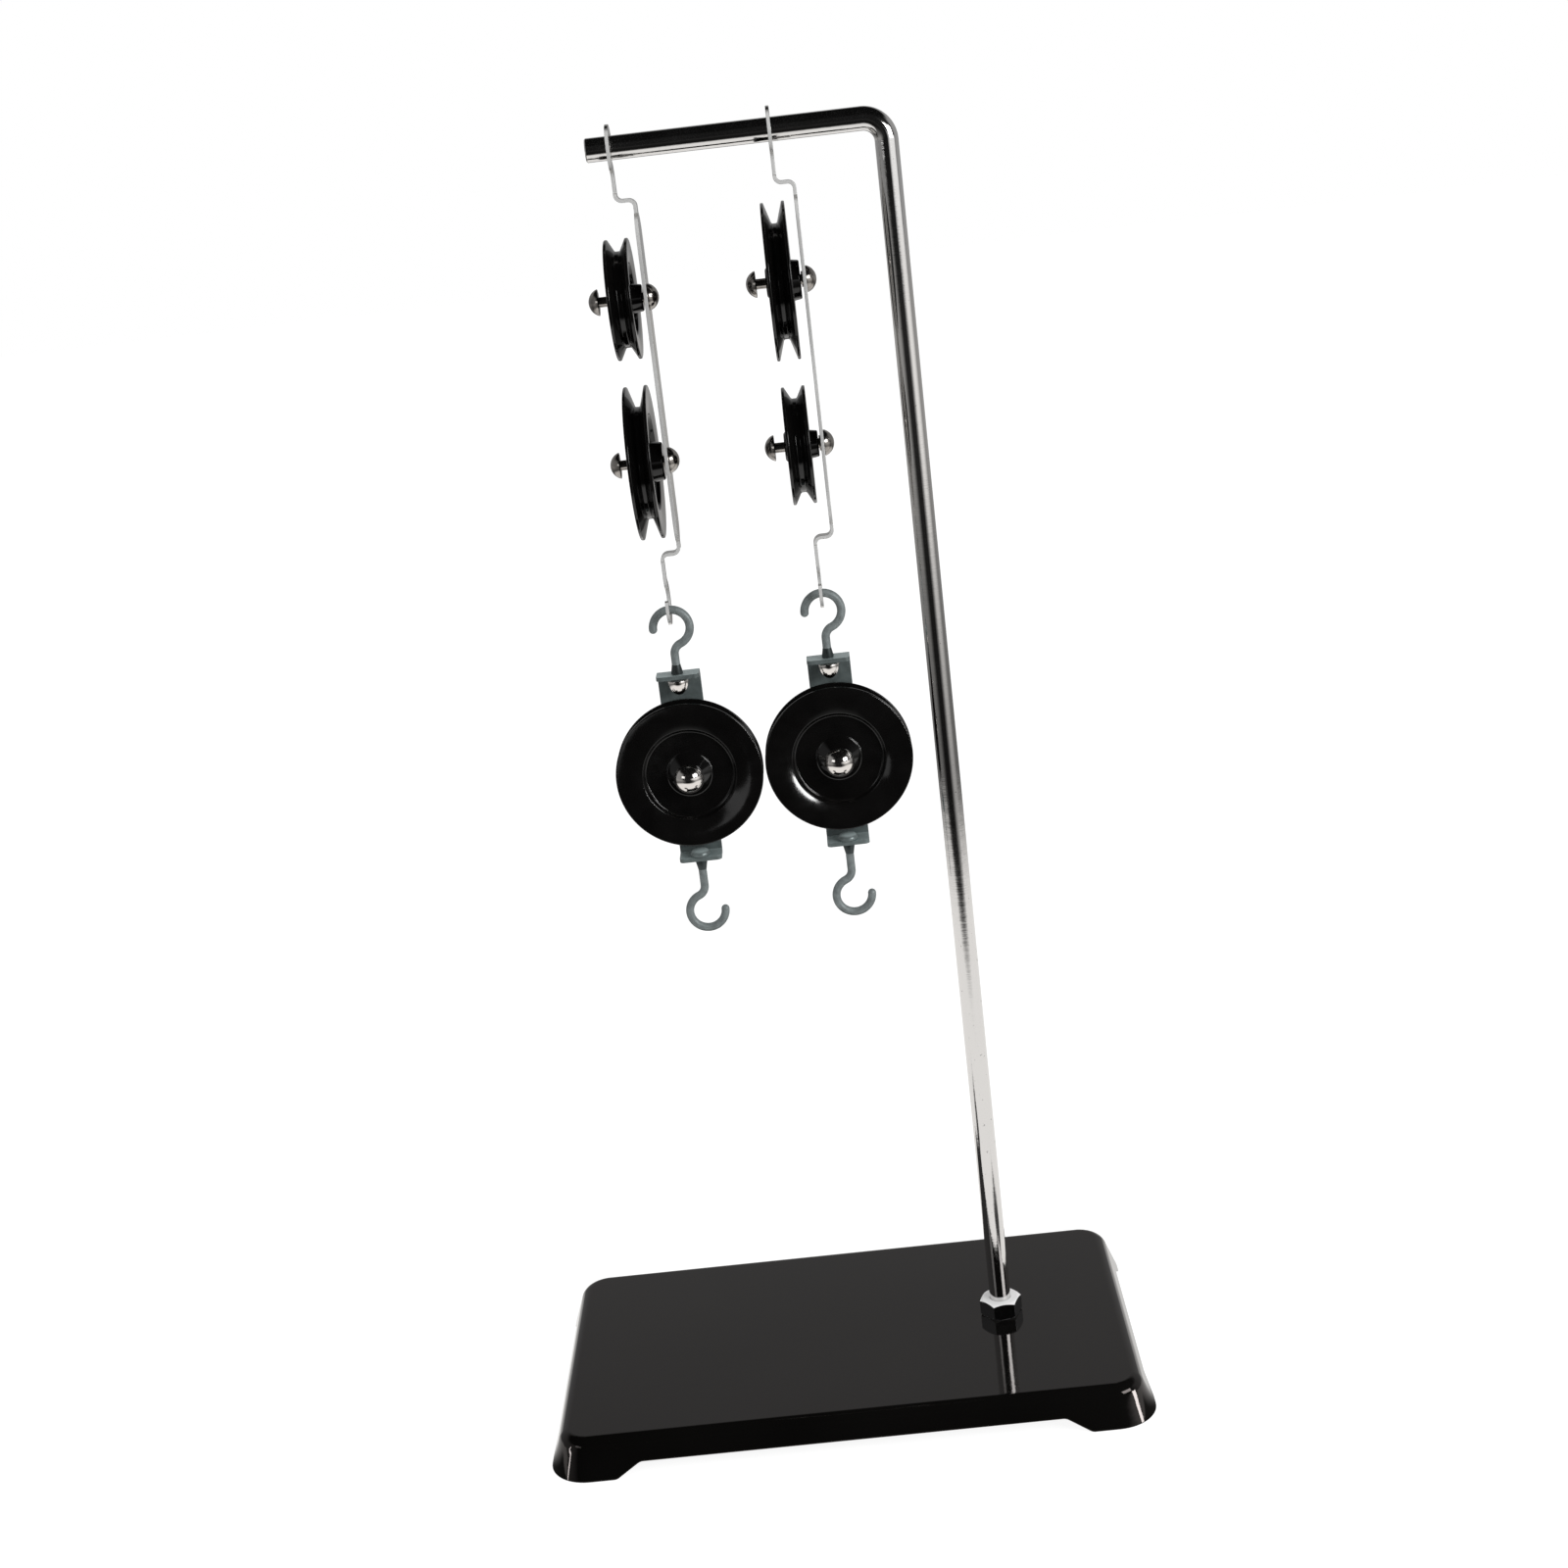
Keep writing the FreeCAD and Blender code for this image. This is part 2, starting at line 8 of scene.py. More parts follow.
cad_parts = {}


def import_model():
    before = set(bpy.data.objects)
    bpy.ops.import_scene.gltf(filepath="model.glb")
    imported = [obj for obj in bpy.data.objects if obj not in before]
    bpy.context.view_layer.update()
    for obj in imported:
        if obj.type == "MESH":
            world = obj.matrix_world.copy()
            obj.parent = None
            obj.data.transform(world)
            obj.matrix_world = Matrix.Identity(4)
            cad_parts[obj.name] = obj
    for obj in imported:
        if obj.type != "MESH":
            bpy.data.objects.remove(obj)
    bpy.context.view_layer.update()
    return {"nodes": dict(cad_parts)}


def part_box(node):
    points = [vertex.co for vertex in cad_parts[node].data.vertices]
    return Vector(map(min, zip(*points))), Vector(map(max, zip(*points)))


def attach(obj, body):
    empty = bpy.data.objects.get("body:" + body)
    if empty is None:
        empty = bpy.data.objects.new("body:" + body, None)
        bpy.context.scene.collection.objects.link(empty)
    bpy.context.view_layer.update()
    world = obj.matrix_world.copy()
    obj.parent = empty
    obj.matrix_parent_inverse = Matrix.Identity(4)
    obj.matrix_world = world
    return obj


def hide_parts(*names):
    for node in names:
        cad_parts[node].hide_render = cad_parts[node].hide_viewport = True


bl_info = {
    "name": "Pulley demonstrator",
    "version": (1, 0, 0),
    "blender": (4, 5, 0),
    "location": "3D View > Sidebar > Pulleys",
    "description": "Wheels, hooks, rod, sheet parts, finishes and stage of a bench pulley stand",
    "category": "Add Mesh",
}

# Metres, in the stand's own frame: +X along the base towards the rod, +Y away from the
# faces of the single pulleys, +Z up.
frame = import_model()

SIDES = ("left", "right")
AXLE = {"large": 0, "small": 0, "single": 1}    # a side's wheels: axle along X (0) or Y (1)
WELD = 2e-6  # vertices nearer than this are one
FLAT_ANGLE = math.radians(0.3)  # faces that meet at less are one
EASED_ANGLE = math.radians(28)  # edges sharper than this are eased
LARGE_FACE_WEIGHT = 80  # how much large faces keep their own shading
THREAD_ROWS = 14.0  # rows of vertices in one pitch of the thread
RING_STEPS = 12  # across the hollow ring of a wheel's rim
FULL_TURN = 2 * math.pi
FINISH = "_finish"  # end of a material's name


# ---- settings
def length(text, default):
    """Property for a size in metres."""
    return FloatProperty(name=text, description=text, default=default, min=0.0, precision=5,
                         unit="LENGTH", subtype="DISTANCE")


def share(text, default, highest=1.0):
    """Property for a plain number from nought."""
    return FloatProperty(name=text, description=text, default=default, min=0.0, max=highest)


def colour(text, default):
    """Property for a colour."""
    return FloatVectorProperty(name=text, description=text, default=default, min=0.0, max=1.0,
                               subtype="COLOR")


def watts(text, default):
    """Property for a lamp's power."""
    return FloatProperty(name=text, description=text, default=default, min=0.0,
                         unit="POWER", subtype="POWER")


def degrees(text, default):
    """Property for an angle, given here in degrees and kept in radians."""
    return FloatProperty(name=text, description=text, default=math.radians(default),
                         unit="ROTATION", subtype="ANGLE")


def spot(text, default):
    """Property for a place."""
    return FloatVectorProperty(name=text, description=text, default=default,
                               unit="LENGTH", subtype="TRANSLATION")


class WheelSettings(bpy.types.PropertyGroup):
    """Sizes of the grooved wheels."""
    width: length("Width over the rims", 0.0082)
    free_boss: length("Hub beyond the rim on the free side", 0.0009)
    lip: length("Thickness of the rim at its edge", 0.0010)
    root_width: length("Width of the groove's root", 0.0018)
    large_groove: length("Groove depth of a large wheel", 0.0071)
    small_groove: length("Groove depth of a small wheel", 0.0041)
    large_band: length("Flat ring of a large wheel", 0.0097)
    small_band: length("Flat ring of a small wheel", 0.0080)
    web: length("Thickness of the web", 0.0034)
    dish: length("How far the ring leans inwards", 0.0006)
    large_hub: length("Hub diameter of a large wheel towards its frame", 0.0130)
    small_hub: length("Hub diameter on the free side, and of a small wheel", 0.0090)
    hub_taper: length("How much a hub widens towards the web", 0.0008)
    free_taper: length("How much the hub on the free side widens", 0.0036)
    bore: length("Diameter of the bore", 0.0036)
    steps: IntProperty(name="Steps", description="Steps round a wheel", default=144, min=24)


class RivetSettings(bpy.types.PropertyGroup):
    """Sizes of the axle rivets."""
    diameter: length("Diameter of the axle", 0.0035)
    tandem_head: length("Height of a tandem pulley's rivet heads", 0.0035)
    single_head: length("Height of a single pulley's rivet heads", 0.0039)
    shoulder_diameter: length("Diameter of the shoulder", 0.0054)
    shoulder_length: length("Length of the shoulder", 0.0005)
    head_edge: length("Rounding of a head's edge", 0.00035)
    steps: IntProperty(name="Steps", description="Steps round a rivet", default=72, min=12)


class HookSettings(bpy.types.PropertyGroup):
    """Sizes of the wire hooks."""
    wire: length("Diameter of the wire", 0.0030)
    neck_radius: length("Radius of the reversed bend", 0.0040)
    collar: length("Diameter of the collar", 0.0044)
    collar_height: length("Height of the collar", 0.0034)
    head: length("Diameter of the peened head", 0.0074)
    play: length("Gap between the strap and the collar or head", 0.00025)
    steps: IntProperty(name="Steps", description="Steps round the wire", default=40, min=12)


class RodSettings(bpy.types.PropertyGroup):
    """Sizes of the stand's rod."""
    bend_radius: length("Radius of the bend at the rod's axis", 0.0078)
    end_chamfer: length("Chamfer of the arm's end", 0.0004)
    pitch: length("Pitch of the thread", 0.00125)
    thread_depth: length("Depth of the thread", 0.00065)
    steps: IntProperty(name="Steps", description="Steps round the rod", default=96, min=24)


class SheetSettings(bpy.types.PropertyGroup):
    """Edges of the pressed and stamped pieces."""
    strap: length("Thickness of a single pulley's strap", 0.0015)
    frame: length("Thickness of a tandem frame", 0.0012)
    frame_edge: length("Easing of the frames' edges", 0.00018)
    strap_edge: length("Easing of the straps' edges", 0.00022)
    plate_edge: length("Easing of the base plate's edges", 0.00045)
    nut_edge: length("Easing of the nuts' edges", 0.00014)


class FinishSettings(bpy.types.PropertyGroup):
    """Colours and gloss of the finishes."""
    enamel: colour("Black enamel", (0.0030, 0.0028, 0.0026))
    enamel_roughness: share("Roughness of the enamel", 0.045)
    chrome: colour("Chrome plate", (0.74, 0.73, 0.72))
    chrome_roughness: share("Roughness of the chrome", 0.07)
    plating: colour("Plating of the nuts and washer", (0.37, 0.38, 0.39))
    # painted highlight: colour of the nuts' and washer's faces that look up or down
    plating_faces: colour("Their faces that look up or down", (0.96, 0.96, 0.96))
    strip: colour("Plated strip of the tandem frames", (0.62, 0.61, 0.59))
    strip_edges: colour("Sheared edges of that strip", (0.80, 0.80, 0.79))
    plastic: colour("Moulded black plastic", (0.0035, 0.0033, 0.0032))
    plastic_roughness: share("Roughness of the plastic", 0.06)
    rivet: colour("Rivet plating", (0.80, 0.77, 0.74))
    dull_rivet: colour("Plating of the tandem rivets", (0.34, 0.32, 0.30))
    strap: colour("Strap steel", (0.170, 0.204, 0.204))
    collar: colour("Collars of the wire hooks", (0.060, 0.072, 0.073))
    wire: colour("Hook wire", (0.255, 0.288, 0.290))
    paper: colour("Floor", (0.28, 0.28, 0.28))


class StageSettings(bpy.types.PropertyGroup):
    """Camera, light and floor."""
    eye: spot("Place of the camera", (0.02811, -0.82538, 0.47235))
    pitch: degrees("Camera looking down", 16.111)
    yaw: degrees("Camera turned towards +X", -1.874)
    roll: degrees("Camera rolled", -6.754)
    lens: FloatProperty(name="Lens", description="Focal length in millimetres", default=54.76,
                        min=1.0, unit="CAMERA", subtype="DISTANCE_CAMERA")
    floor_size: length("Width of the floor", 12.0)
    rod_foot: spot("Where the rod meets the floor", (0.0605, 0.0, 0.0))
    ambient: share("Light from all round", 0.62, 4.0)
    soft_light: watts("Power of the softbox", 6.0)
    fill_light: watts("Power of the box on the left", 0.4)
    right_light: watts("Power of the strip on the right", 5.6)
    left_light: watts("Power of the strip on the left", 0.7)
    panel_light: watts("Power of the wide panel", 0.03)
    spot_light: watts("Power of the narrow panel", 0.60)


GROUPS = {"wheels": WheelSettings, "rivets": RivetSettings, "hooks": HookSettings,
          "rod": RodSettings, "sheet": SheetSettings, "finishes": FinishSettings,
          "stage": StageSettings}


class StandSettings(bpy.types.PropertyGroup):
    """All settings of the pulley stand."""
    __annotations__ = {name: PointerProperty(type=kind) for name, kind in GROUPS.items()}


def stand():
    """Settings of the pulley stand in the open scene."""
    return bpy.context.scene.pulley_stand


def new_object(name, data):
    """Object in the open scene that carries a mesh, lamp or camera."""
    made = bpy.data.objects.new(name, data)
    bpy.context.scene.collection.objects.link(made)
    return made


# ---- outlines and paths
def rounded(corners, segments=7, guard=0.00012):
    """Closed outline whose corners (u, v, radius) are rounded by arcs, with a guard point
    beside each arc so that flat stretches shade flat."""
    points = []
    least_room = 3 * guard
    for index, (u, v, radius) in enumerate(corners):
        here = Vector((u, v))
        if radius <= 0:
            points.append(here)
            continue
        before = Vector(corners[index - 1][:2]) - here
        after = Vector(corners[(index + 1) % len(corners)][:2]) - here
        half = before.angle(after) / 2
        run = radius / math.tan(half)
        before_room, after_room = before.length - run, after.length - run
        before.normalize()
        after.normalize()
        centre = here + (before + after).normalized() * (radius / math.sin(half))
        start, end = here + before * run - centre, here + after * run - centre
        sweep = start.angle_signed(end)
        if before_room > least_room:
            points.append(here + before * (run + guard))
        for step in range(segments + 1):
            turn = Matrix.Rotation(-sweep * step / segments, 2)
            points.append(centre + turn @ start)
        if after_room > least_room:
            points.append(here + after * (run + guard))
    return points


def arc(centre, radius, start, end, steps):
    """Points on an arc, angles in degrees from the first axis to the second."""
    points = []
    for step in range(steps + 1):
        angle = math.radians(start + (end - start) * step / steps)
        points.append(Vector((centre[0] + radius * math.cos(angle),
                              centre[1] + radius * math.sin(angle))))
    return points


def quarter(steps):
    """Angles of a quarter turn, without its end."""
    return [math.pi / 2 * step / steps for step in range(steps)]


def line_mesh(points, girths=None):
    """Mesh of vertices joined in order, with the wire's radius at each if it has any."""
    mesh = bpy.data.meshes.new("line")
    edges = [(index, index + 1) for index in range(len(points) - 1)]
    mesh.from_pydata(points, edges, [])
    if girths:
        attribute = mesh.attributes.new("girth", "FLOAT", "POINT")
        attribute.data.foreach_set("value", girths)
    return mesh


# ---- node trees
class Tree:
    """Builder of a node tree: makes nodes, sets their inputs and links them."""

    def __init__(self, group):
        self.group = group

    def node(self, kind, settings=None, **inputs):
        """New node.  An input is a value or another node's socket; _ in its name is a space,
        and i with a number is its place in the list."""
        made = self.group.nodes.new(kind)
        for key, value in (settings or {}).items():
            setattr(made, key, value)
        for key, value in inputs.items():
            index = int(key[1:]) if key[0] == "i" and key[1:].isdigit() else key.replace("_", " ")
            self.feed(made.inputs[index], value)
        return made

    def feed(self, socket, value):
        """Link or set one input."""
        if isinstance(value, bpy.types.NodeSocket):
            self.group.links.new(value, socket)
        else:
            socket.default_value = value

    def math(self, operation, *values):
        """Output of a math node."""
        made = self.node("ShaderNodeMath", {"operation": operation})
        for socket, value in zip(made.inputs, values):
            self.feed(socket, value)
        return made.outputs[0]

    def times(self, first, second):
        """Output of a multiplication."""
        return self.math("MULTIPLY", first, second)

    def parts(self, vector):
        """The X, Y and Z of a vector."""
        return self.node("ShaderNodeSeparateXYZ", i0=vector).outputs

    def polar(self, radius, angle):
        """Both parts of a radius at an angle."""
        return [self.times(radius, self.math(part, angle)) for part in ("COSINE", "SINE")]

    def spread(self, value, low, high, new_low, new_high, smooth=False):
        """Output of a map range node, clamped."""
        kind = "SMOOTHSTEP" if smooth else "LINEAR"
        made = self.node("ShaderNodeMapRange", {"interpolation_type": kind}, Value=value,
                         From_Min=low, From_Max=high, To_Min=new_low, To_Max=new_high)
        return made.outputs[0]


def geometry_tree(name, **sizes):
    """Geometry node tree with named inputs, as (its builder, its inputs).  Sizes are the names and
    kinds of the inputs besides the shape, the steps round it and the material."""
    made = bpy.data.node_groups.new(name, "GeometryNodeTree")
    kinds = {"Geometry": "Geometry", **sizes, "Steps": "Int", "Material": "Material"}
    for socket, kind in kinds.items():
        made.interface.new_socket(name=socket, in_out="INPUT", socket_type="NodeSocket" + kind)
    made.interface.new_socket(name="Geometry", in_out="OUTPUT", socket_type="NodeSocketGeometry")
    tree = Tree(made)
    return tree, tree.node("NodeGroupInput").outputs


def in_use(sockets):
    """The sockets that a node's settings leave in use, by name."""
    return {socket.name: socket for socket in sockets if socket.enabled}


def close_tree(tree, inputs, geometry):
    """End a geometry tree: one welded, smooth mesh with its material."""
    for kind, values in (("GeometryNodeMergeByDistance", {"Distance": WELD}),
                         ("GeometryNodeSetShadeSmooth", {}),
                         ("GeometryNodeRealizeInstances", {}),
                         ("GeometryNodeSetMaterial", {"Material": inputs["Material"]})):
        geometry = tree.node(kind, Geometry=geometry, **values).outputs[0]
    tree.node("NodeGroupOutput", Geometry=geometry)
    return tree.group


def numbered_grid(tree, inputs, rows):
    """Grid with a column more than there are steps round, and its vertices' rows and columns."""
    columns = tree.math("ADD", inputs["Steps"], 1.0)
    grid = tree.node("GeometryNodeMeshGrid", Vertices_X=rows, Vertices_Y=columns)
    index = tree.node("GeometryNodeInputIndex").outputs[0]
    row = tree.math("FLOOR", tree.math("DIVIDE", tree.math("ADD", index, 0.5), columns))
    column = tree.math("SUBTRACT", index, tree.times(row, columns))
    return grid.outputs["Mesh"], row, column


def rolled_grid(tree, inputs, grid, x, y, z):
    """End a geometry tree: a grid with its vertices moved to their places."""
    point = tree.node("ShaderNodeCombineXYZ", X=x, Y=y, Z=z)
    moved = tree.node("GeometryNodeSetPosition", Geometry=grid, Position=point.outputs[0])
    return close_tree(tree, inputs, moved.outputs[0])


def lathe_tree():
    """Turns an outline (distance along X, radius along Y) about the X axis."""
    tree, inputs = geometry_tree("lathe_tree", Closed="Int")
    size = tree.node("GeometryNodeAttributeDomainSize", Geometry=inputs["Geometry"])
    count = size.outputs["Point Count"]
    rows = tree.math("ADD", count, inputs["Closed"])
    grid, row, column = numbered_grid(tree, inputs, rows)
    place = tree.node("GeometryNodeInputPosition").outputs[0]
    sample = tree.node("GeometryNodeSampleIndex", {"data_type": "FLOAT_VECTOR"},
                       Geometry=inputs["Geometry"], Index=tree.math("MODULO", row, count))
    tree.feed(in_use(sample.inputs)["Value"], place)
    along, radius, _ = tree.parts(in_use(sample.outputs)["Value"])
    angle = tree.math("DIVIDE", tree.times(column, FULL_TURN), inputs["Steps"])
    return rolled_grid(tree, inputs, grid, along, *tree.polar(radius, angle))


def wire_tree():
    """Round wire along a line of vertices, as thick at each as its girth says."""
    tree, inputs = geometry_tree("wire_tree")
    line = tree.node("GeometryNodeMeshToCurve", Mesh=inputs["Geometry"])
    girth = tree.node("GeometryNodeInputNamedAttribute", {"data_type": "FLOAT"}, Name="girth")
    circle = tree.node("GeometryNodeCurvePrimitiveCircle", Resolution=inputs["Steps"], Radius=1.0)
    sweep = tree.node("GeometryNodeCurveToMesh", Curve=line.outputs[0],
                      Profile_Curve=circle.outputs[0], Fill_Caps=True,
                      Scale=in_use(girth.outputs)["Attribute"])
    return close_tree(tree, inputs, sweep.outputs[0])


def thread_tree():
    """Threaded stretch along +Z from its origin, a ridge that climbs one pitch each turn.  Its
    first and last rows close the ends on the axis."""
    sizes = dict.fromkeys(("Length", "Radius", "Depth", "Pitch"), "Float")
    tree, inputs = geometry_tree("thread_tree", **sizes)
    rows = tree.math("DIVIDE", inputs["Length"], inputs["Pitch"])
    rows = tree.math("CEIL", tree.times(THREAD_ROWS, rows))
    grid, row, column = numbered_grid(tree, inputs, tree.math("ADD", rows, 3.0))
    climb = tree.math("DIVIDE", tree.math("SUBTRACT", row, 1.0), rows)
    climb = tree.math("MINIMUM", tree.math("MAXIMUM", climb, 0.0), 1.0)
    height = tree.times(inputs["Length"], climb)
    turn = tree.math("DIVIDE", column, inputs["Steps"])
    phase = tree.math("SUBTRACT", tree.math("DIVIDE", height, inputs["Pitch"]), turn)
    phase = tree.math("FRACT", phase)
    ridge = tree.math("ABSOLUTE", tree.math("MULTIPLY_ADD", phase, 2.0, -1.0))
    radius = tree.math("SUBTRACT", inputs["Radius"], tree.times(ridge, inputs["Depth"]))
    core = tree.math("SUBTRACT", inputs["Radius"], inputs["Depth"])
    radius = tree.math("MINIMUM", radius, tree.math("ADD", height, core))
    before_end = tree.math("LESS_THAN", row, tree.math("ADD", rows, 1.5))
    inside = tree.times(tree.math("GREATER_THAN", row, 0.5), before_end)
    circle = tree.polar(tree.times(radius, inside), tree.times(turn, FULL_TURN))
    return rolled_grid(tree, inputs, grid, *circle, height)


# ---- meshes and pieces
def plain(start):
    """Plain mesh that a helper object's modifiers make; they and the helper go."""
    start.update_tag()
    graph = bpy.context.evaluated_depsgraph_get()
    graph.update()
    made = bpy.data.meshes.new_from_object(start.evaluated_get(graph),
                                           preserve_all_data_layers=True, depsgraph=graph)
    start.modifiers.clear()
    bpy.data.objects.remove(start)
    return made


def grown(mesh, maker, place=None, sharp=None, **values):
    """Plain mesh that a maker's geometry tree makes from a mesh, then put in its place.  Its
    edges of more than sharp degrees are sharp."""
    tree = bpy.data.node_groups.get(maker.__name__) or maker()
    start = new_object("start", mesh)
    modifier = start.modifiers.new("grow", "NODES")
    modifier.node_group = tree
    for item in tree.interface.items_tree:
        if item.in_out == "INPUT" and item.name in values:
            modifier[item.identifier] = values[item.name]
    made = plain(start)
    if place is not None:
        made.transform(place)
    made.materials.clear()
    made.materials.append(values["Material"])
    for face in made.polygons:
        face.material_index = 0
    shape = bmesh.new()
    shape.from_mesh(made)
    bmesh.ops.recalc_face_normals(shape, faces=shape.faces)
    shape.to_mesh(made)
    shape.free()
    if sharp is not None:
        made.set_sharp_from_angle(angle=math.radians(sharp))
    return made


def piece(name, mesh, body, nodes, material=None):
    """Finished object that rides on a body and stands for its CAD nodes."""
    made = new_object(name, mesh)
    mesh.name = name
    if material is not None:
        mesh.materials.clear()
        mesh.materials.append(material)
    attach(made, body)
    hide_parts(*nodes)
    return made


def eased(node, ending, width, body, maker, segments=3):
    """Piece from a welded copy of a CAD node with its sharp edges eased, in a maker's finish."""
    mesh = frame["nodes"][node].data.copy()
    if "custom_normal" in mesh.attributes:
        mesh.attributes.remove(mesh.attributes["custom_normal"])
    shape = bmesh.new()
    shape.from_mesh(mesh)
    bmesh.ops.remove_doubles(shape, verts=shape.verts, dist=WELD)
    bmesh.ops.dissolve_degenerate(shape, edges=shape.edges, dist=WELD)
    bmesh.ops.dissolve_limit(shape, angle_limit=FLAT_ANGLE, verts=shape.verts,
                             edges=shape.edges, delimit=set())
    shape.to_mesh(mesh)
    shape.free()
    mesh.shade_smooth()
    start = new_object("start", mesh)
    bevel = start.modifiers.new("ease", "BEVEL")
    bevel.width = width
    bevel.segments = segments
    bevel.limit_method = "ANGLE"
    bevel.angle_limit = EASED_ANGLE
    bevel.miter_outer = "MITER_ARC"
    bevel.use_clamp_overlap = True
    bevel.harden_normals = True
    weighted = start.modifiers.new("flatten", "WEIGHTED_NORMAL")
    weighted.weight = LARGE_FACE_WEIGHT
    weighted.keep_sharp = True
    return piece(node + ending, plain(start), body, [node], finish(maker))


# ---- finishes
def rgba(base, factor=1.0):
    """Colour made lighter or darker, with its alpha."""
    return (*(min(1.0, channel * factor) for channel in base), 1.0)


class Finish(Tree):
    """Material with one principled shader and patterns on object coordinates.  Its colour, and
    where there is one its roughness, are the settings of that name."""

    def __init__(self, setting, metallic, roughness=None):
        self.material = bpy.data.materials.new(setting + FINISH)
        self.material.use_nodes = True
        super().__init__(self.material.node_tree)
        self.coats = stand().finishes
        self.base = getattr(self.coats, setting)
        self.rough = getattr(self.coats, setting + "_roughness", roughness)
        self.shader = self.group.nodes["Principled BSDF"]
        self.put(Base_Color=rgba(self.base), Metallic=metallic, Roughness=self.rough)
        self.place = self.node("ShaderNodeTexCoord").outputs["Object"]
        self.normal = None

    def put(self, **values):
        """Set or link inputs of the shader; _ in a name is a space."""
        for key, value in values.items():
            self.feed(self.shader.inputs[key.replace("_", " ")], value)

    def noise(self, scale, detail, stretch=None):
        """Noise from nought to one, with its coordinates scaled along each axis if stretched."""
        place = self.place
        if stretch:
            place = self.node("ShaderNodeMapping", Vector=place, Scale=stretch).outputs[0]
        made = self.node("ShaderNodeTexNoise", Vector=place, Scale=scale, Detail=detail)
        return made.outputs["Fac"]

    def between(self, noise, low, high):
        """A noise's usual reach spread between two values."""
        return self.spread(noise, 0.25, 0.75, low, high)

    def gloss(self, noise, low, high):
        """Roughness between two values by a noise."""
        self.put(Roughness=self.between(noise, low, high))

    def blend(self, mask, first, second):
        """Base colour that is the second colour or socket where a mask is one; also as a socket."""
        mix = self.node("ShaderNodeMix", {"data_type": "RGBA"}, i0=mask, i6=first, i7=second)
        self.put(Base_Color=mix.outputs[2])
        return mix.outputs[2]

    def tint(self, noise, first, second, low=0.3, high=0.7):
        """Base colour between two shades of itself, while a noise goes from low to high."""
        return self.blend(self.spread(noise, low, high, 0.0, 1.0), rgba(self.base, first),
                          rgba(self.base, second))

    def relief(self, height, strength, distance=0.0002):
        """Bump on top of any earlier one."""
        bump = self.node("ShaderNodeBump", Height=height, Strength=strength, Distance=distance)
        if self.normal is not None:
            self.feed(bump.inputs["Normal"], self.normal)
        self.normal = bump.outputs[0]
        self.put(Normal=self.normal)

    def facing(self, axis, low, high):
        """Mask of the surfaces that face along an axis, either way."""
        turned = self.node("ShaderNodeTexCoord").outputs["Normal"]
        along = self.parts(turned)[axis]
        return self.spread(self.math("ABSOLUTE", along), low, high, 0.0, 1.0, True)


def base_enamel():
    """Baked black enamel with faint orange peel."""
    look = Finish("enamel", 0.0)
    look.put(IOR=1.45, Specular_Tint=(1.0, 0.90, 0.87, 1.0))
    look.tint(look.noise(14.0, 4.0), 0.8, 1.3)
    look.gloss(look.noise(45.0, 5.0), 0.7 * look.rough, 1.6 * look.rough)
    look.relief(look.noise(500.0, 2.0), strength=0.015, distance=0.0004)
    look.relief(look.noise(50.0, 2.0), strength=0.02, distance=0.0012)
    return look


def rod_chrome():
    """Bright chrome over drawn bar, slightly wavy, with faint grinding rings and a few specks."""
    look = Finish("chrome", 1.0)
    look.gloss(look.noise(90.0, 4.0), 0.7 * look.rough, 1.6 * look.rough)
    rings = look.noise(1.0, 2.0, stretch=(60.0, 60.0, 2600.0))
    look.relief(rings, strength=0.05)
    look.relief(look.noise(260.0, 3.0), strength=0.10, distance=0.0003)
    look.tint(look.noise(900.0, 2.0), 1.0, 0.35, low=0.70, high=0.78)
    return look


def fastener_plating():
    """Bright nickel on the nuts and the washer; a painted highlight makes it pale and matt where it
    faces up or down.
    """
    look = Finish("plating", 1.0, 0.16)
    # painted highlight: faces that look up or down are made pale, matt and not metallic
    level = look.facing("Z", 0.30, 0.45)
    wear = look.between(look.noise(400.0, 4.0), 0.08, 0.18)
    look.put(Metallic=look.spread(level, 0.0, 1.0, 1.0, 0.0),
             Roughness=look.math("MULTIPLY_ADD", level, 0.25, wear))
    look.blend(level, rgba(look.base), rgba(look.coats.plating_faces))
    marks = look.noise(1.0, 3.0, stretch=(900.0, 900.0, 250.0))
    look.relief(marks, strength=0.10)
    return look


def frame_steel():
    """Nickel-plated strip, brushed along its length, and pale and matt on its sheared edges."""
    look = Finish("strip", 1.0, 0.2)
    grain = look.noise(1.0, 4.0, stretch=(1500.0, 1500.0, 70.0))
    sheared = look.facing("Y", 0.45, 0.75)
    brushed = look.between(grain, 0.10, 0.24)
    look.put(Metallic=look.spread(sheared, 0.0, 1.0, 1.0, 0.2),
             Roughness=look.math("MULTIPLY_ADD", sheared, 0.3, brushed))
    plate = look.tint(look.noise(120.0, 3.0), 0.85, 1.0)
    look.blend(sheared, plate, rgba(look.coats.strip_edges))
    look.relief(grain, strength=0.12)
    return look


def sheave_plastic():
    """Glossy moulded black plastic with faint flow marks."""
    look = Finish("plastic", 0.0)
    look.put(IOR=1.49)
    look.gloss(look.noise(220.0, 5.0), 0.7 * look.rough, 1.7 * look.rough)
    look.tint(look.noise(90.0, 3.0), 0.8, 1.4)
    look.relief(look.noise(110.0, 2.0), strength=0.05, distance=0.0004)
    look.relief(look.noise(1800.0, 2.0), strength=0.02, distance=0.0001)
    return look


def rivet_plating():
    """Polished nickel on the rivets and the upper hooks' heads of the single pulleys."""
    look = Finish("rivet", 1.0, 0.08)
    look.gloss(look.noise(500.0, 4.0), 0.05, 0.14)
    look.relief(look.noise(420.0, 2.0), strength=0.10)
    return look


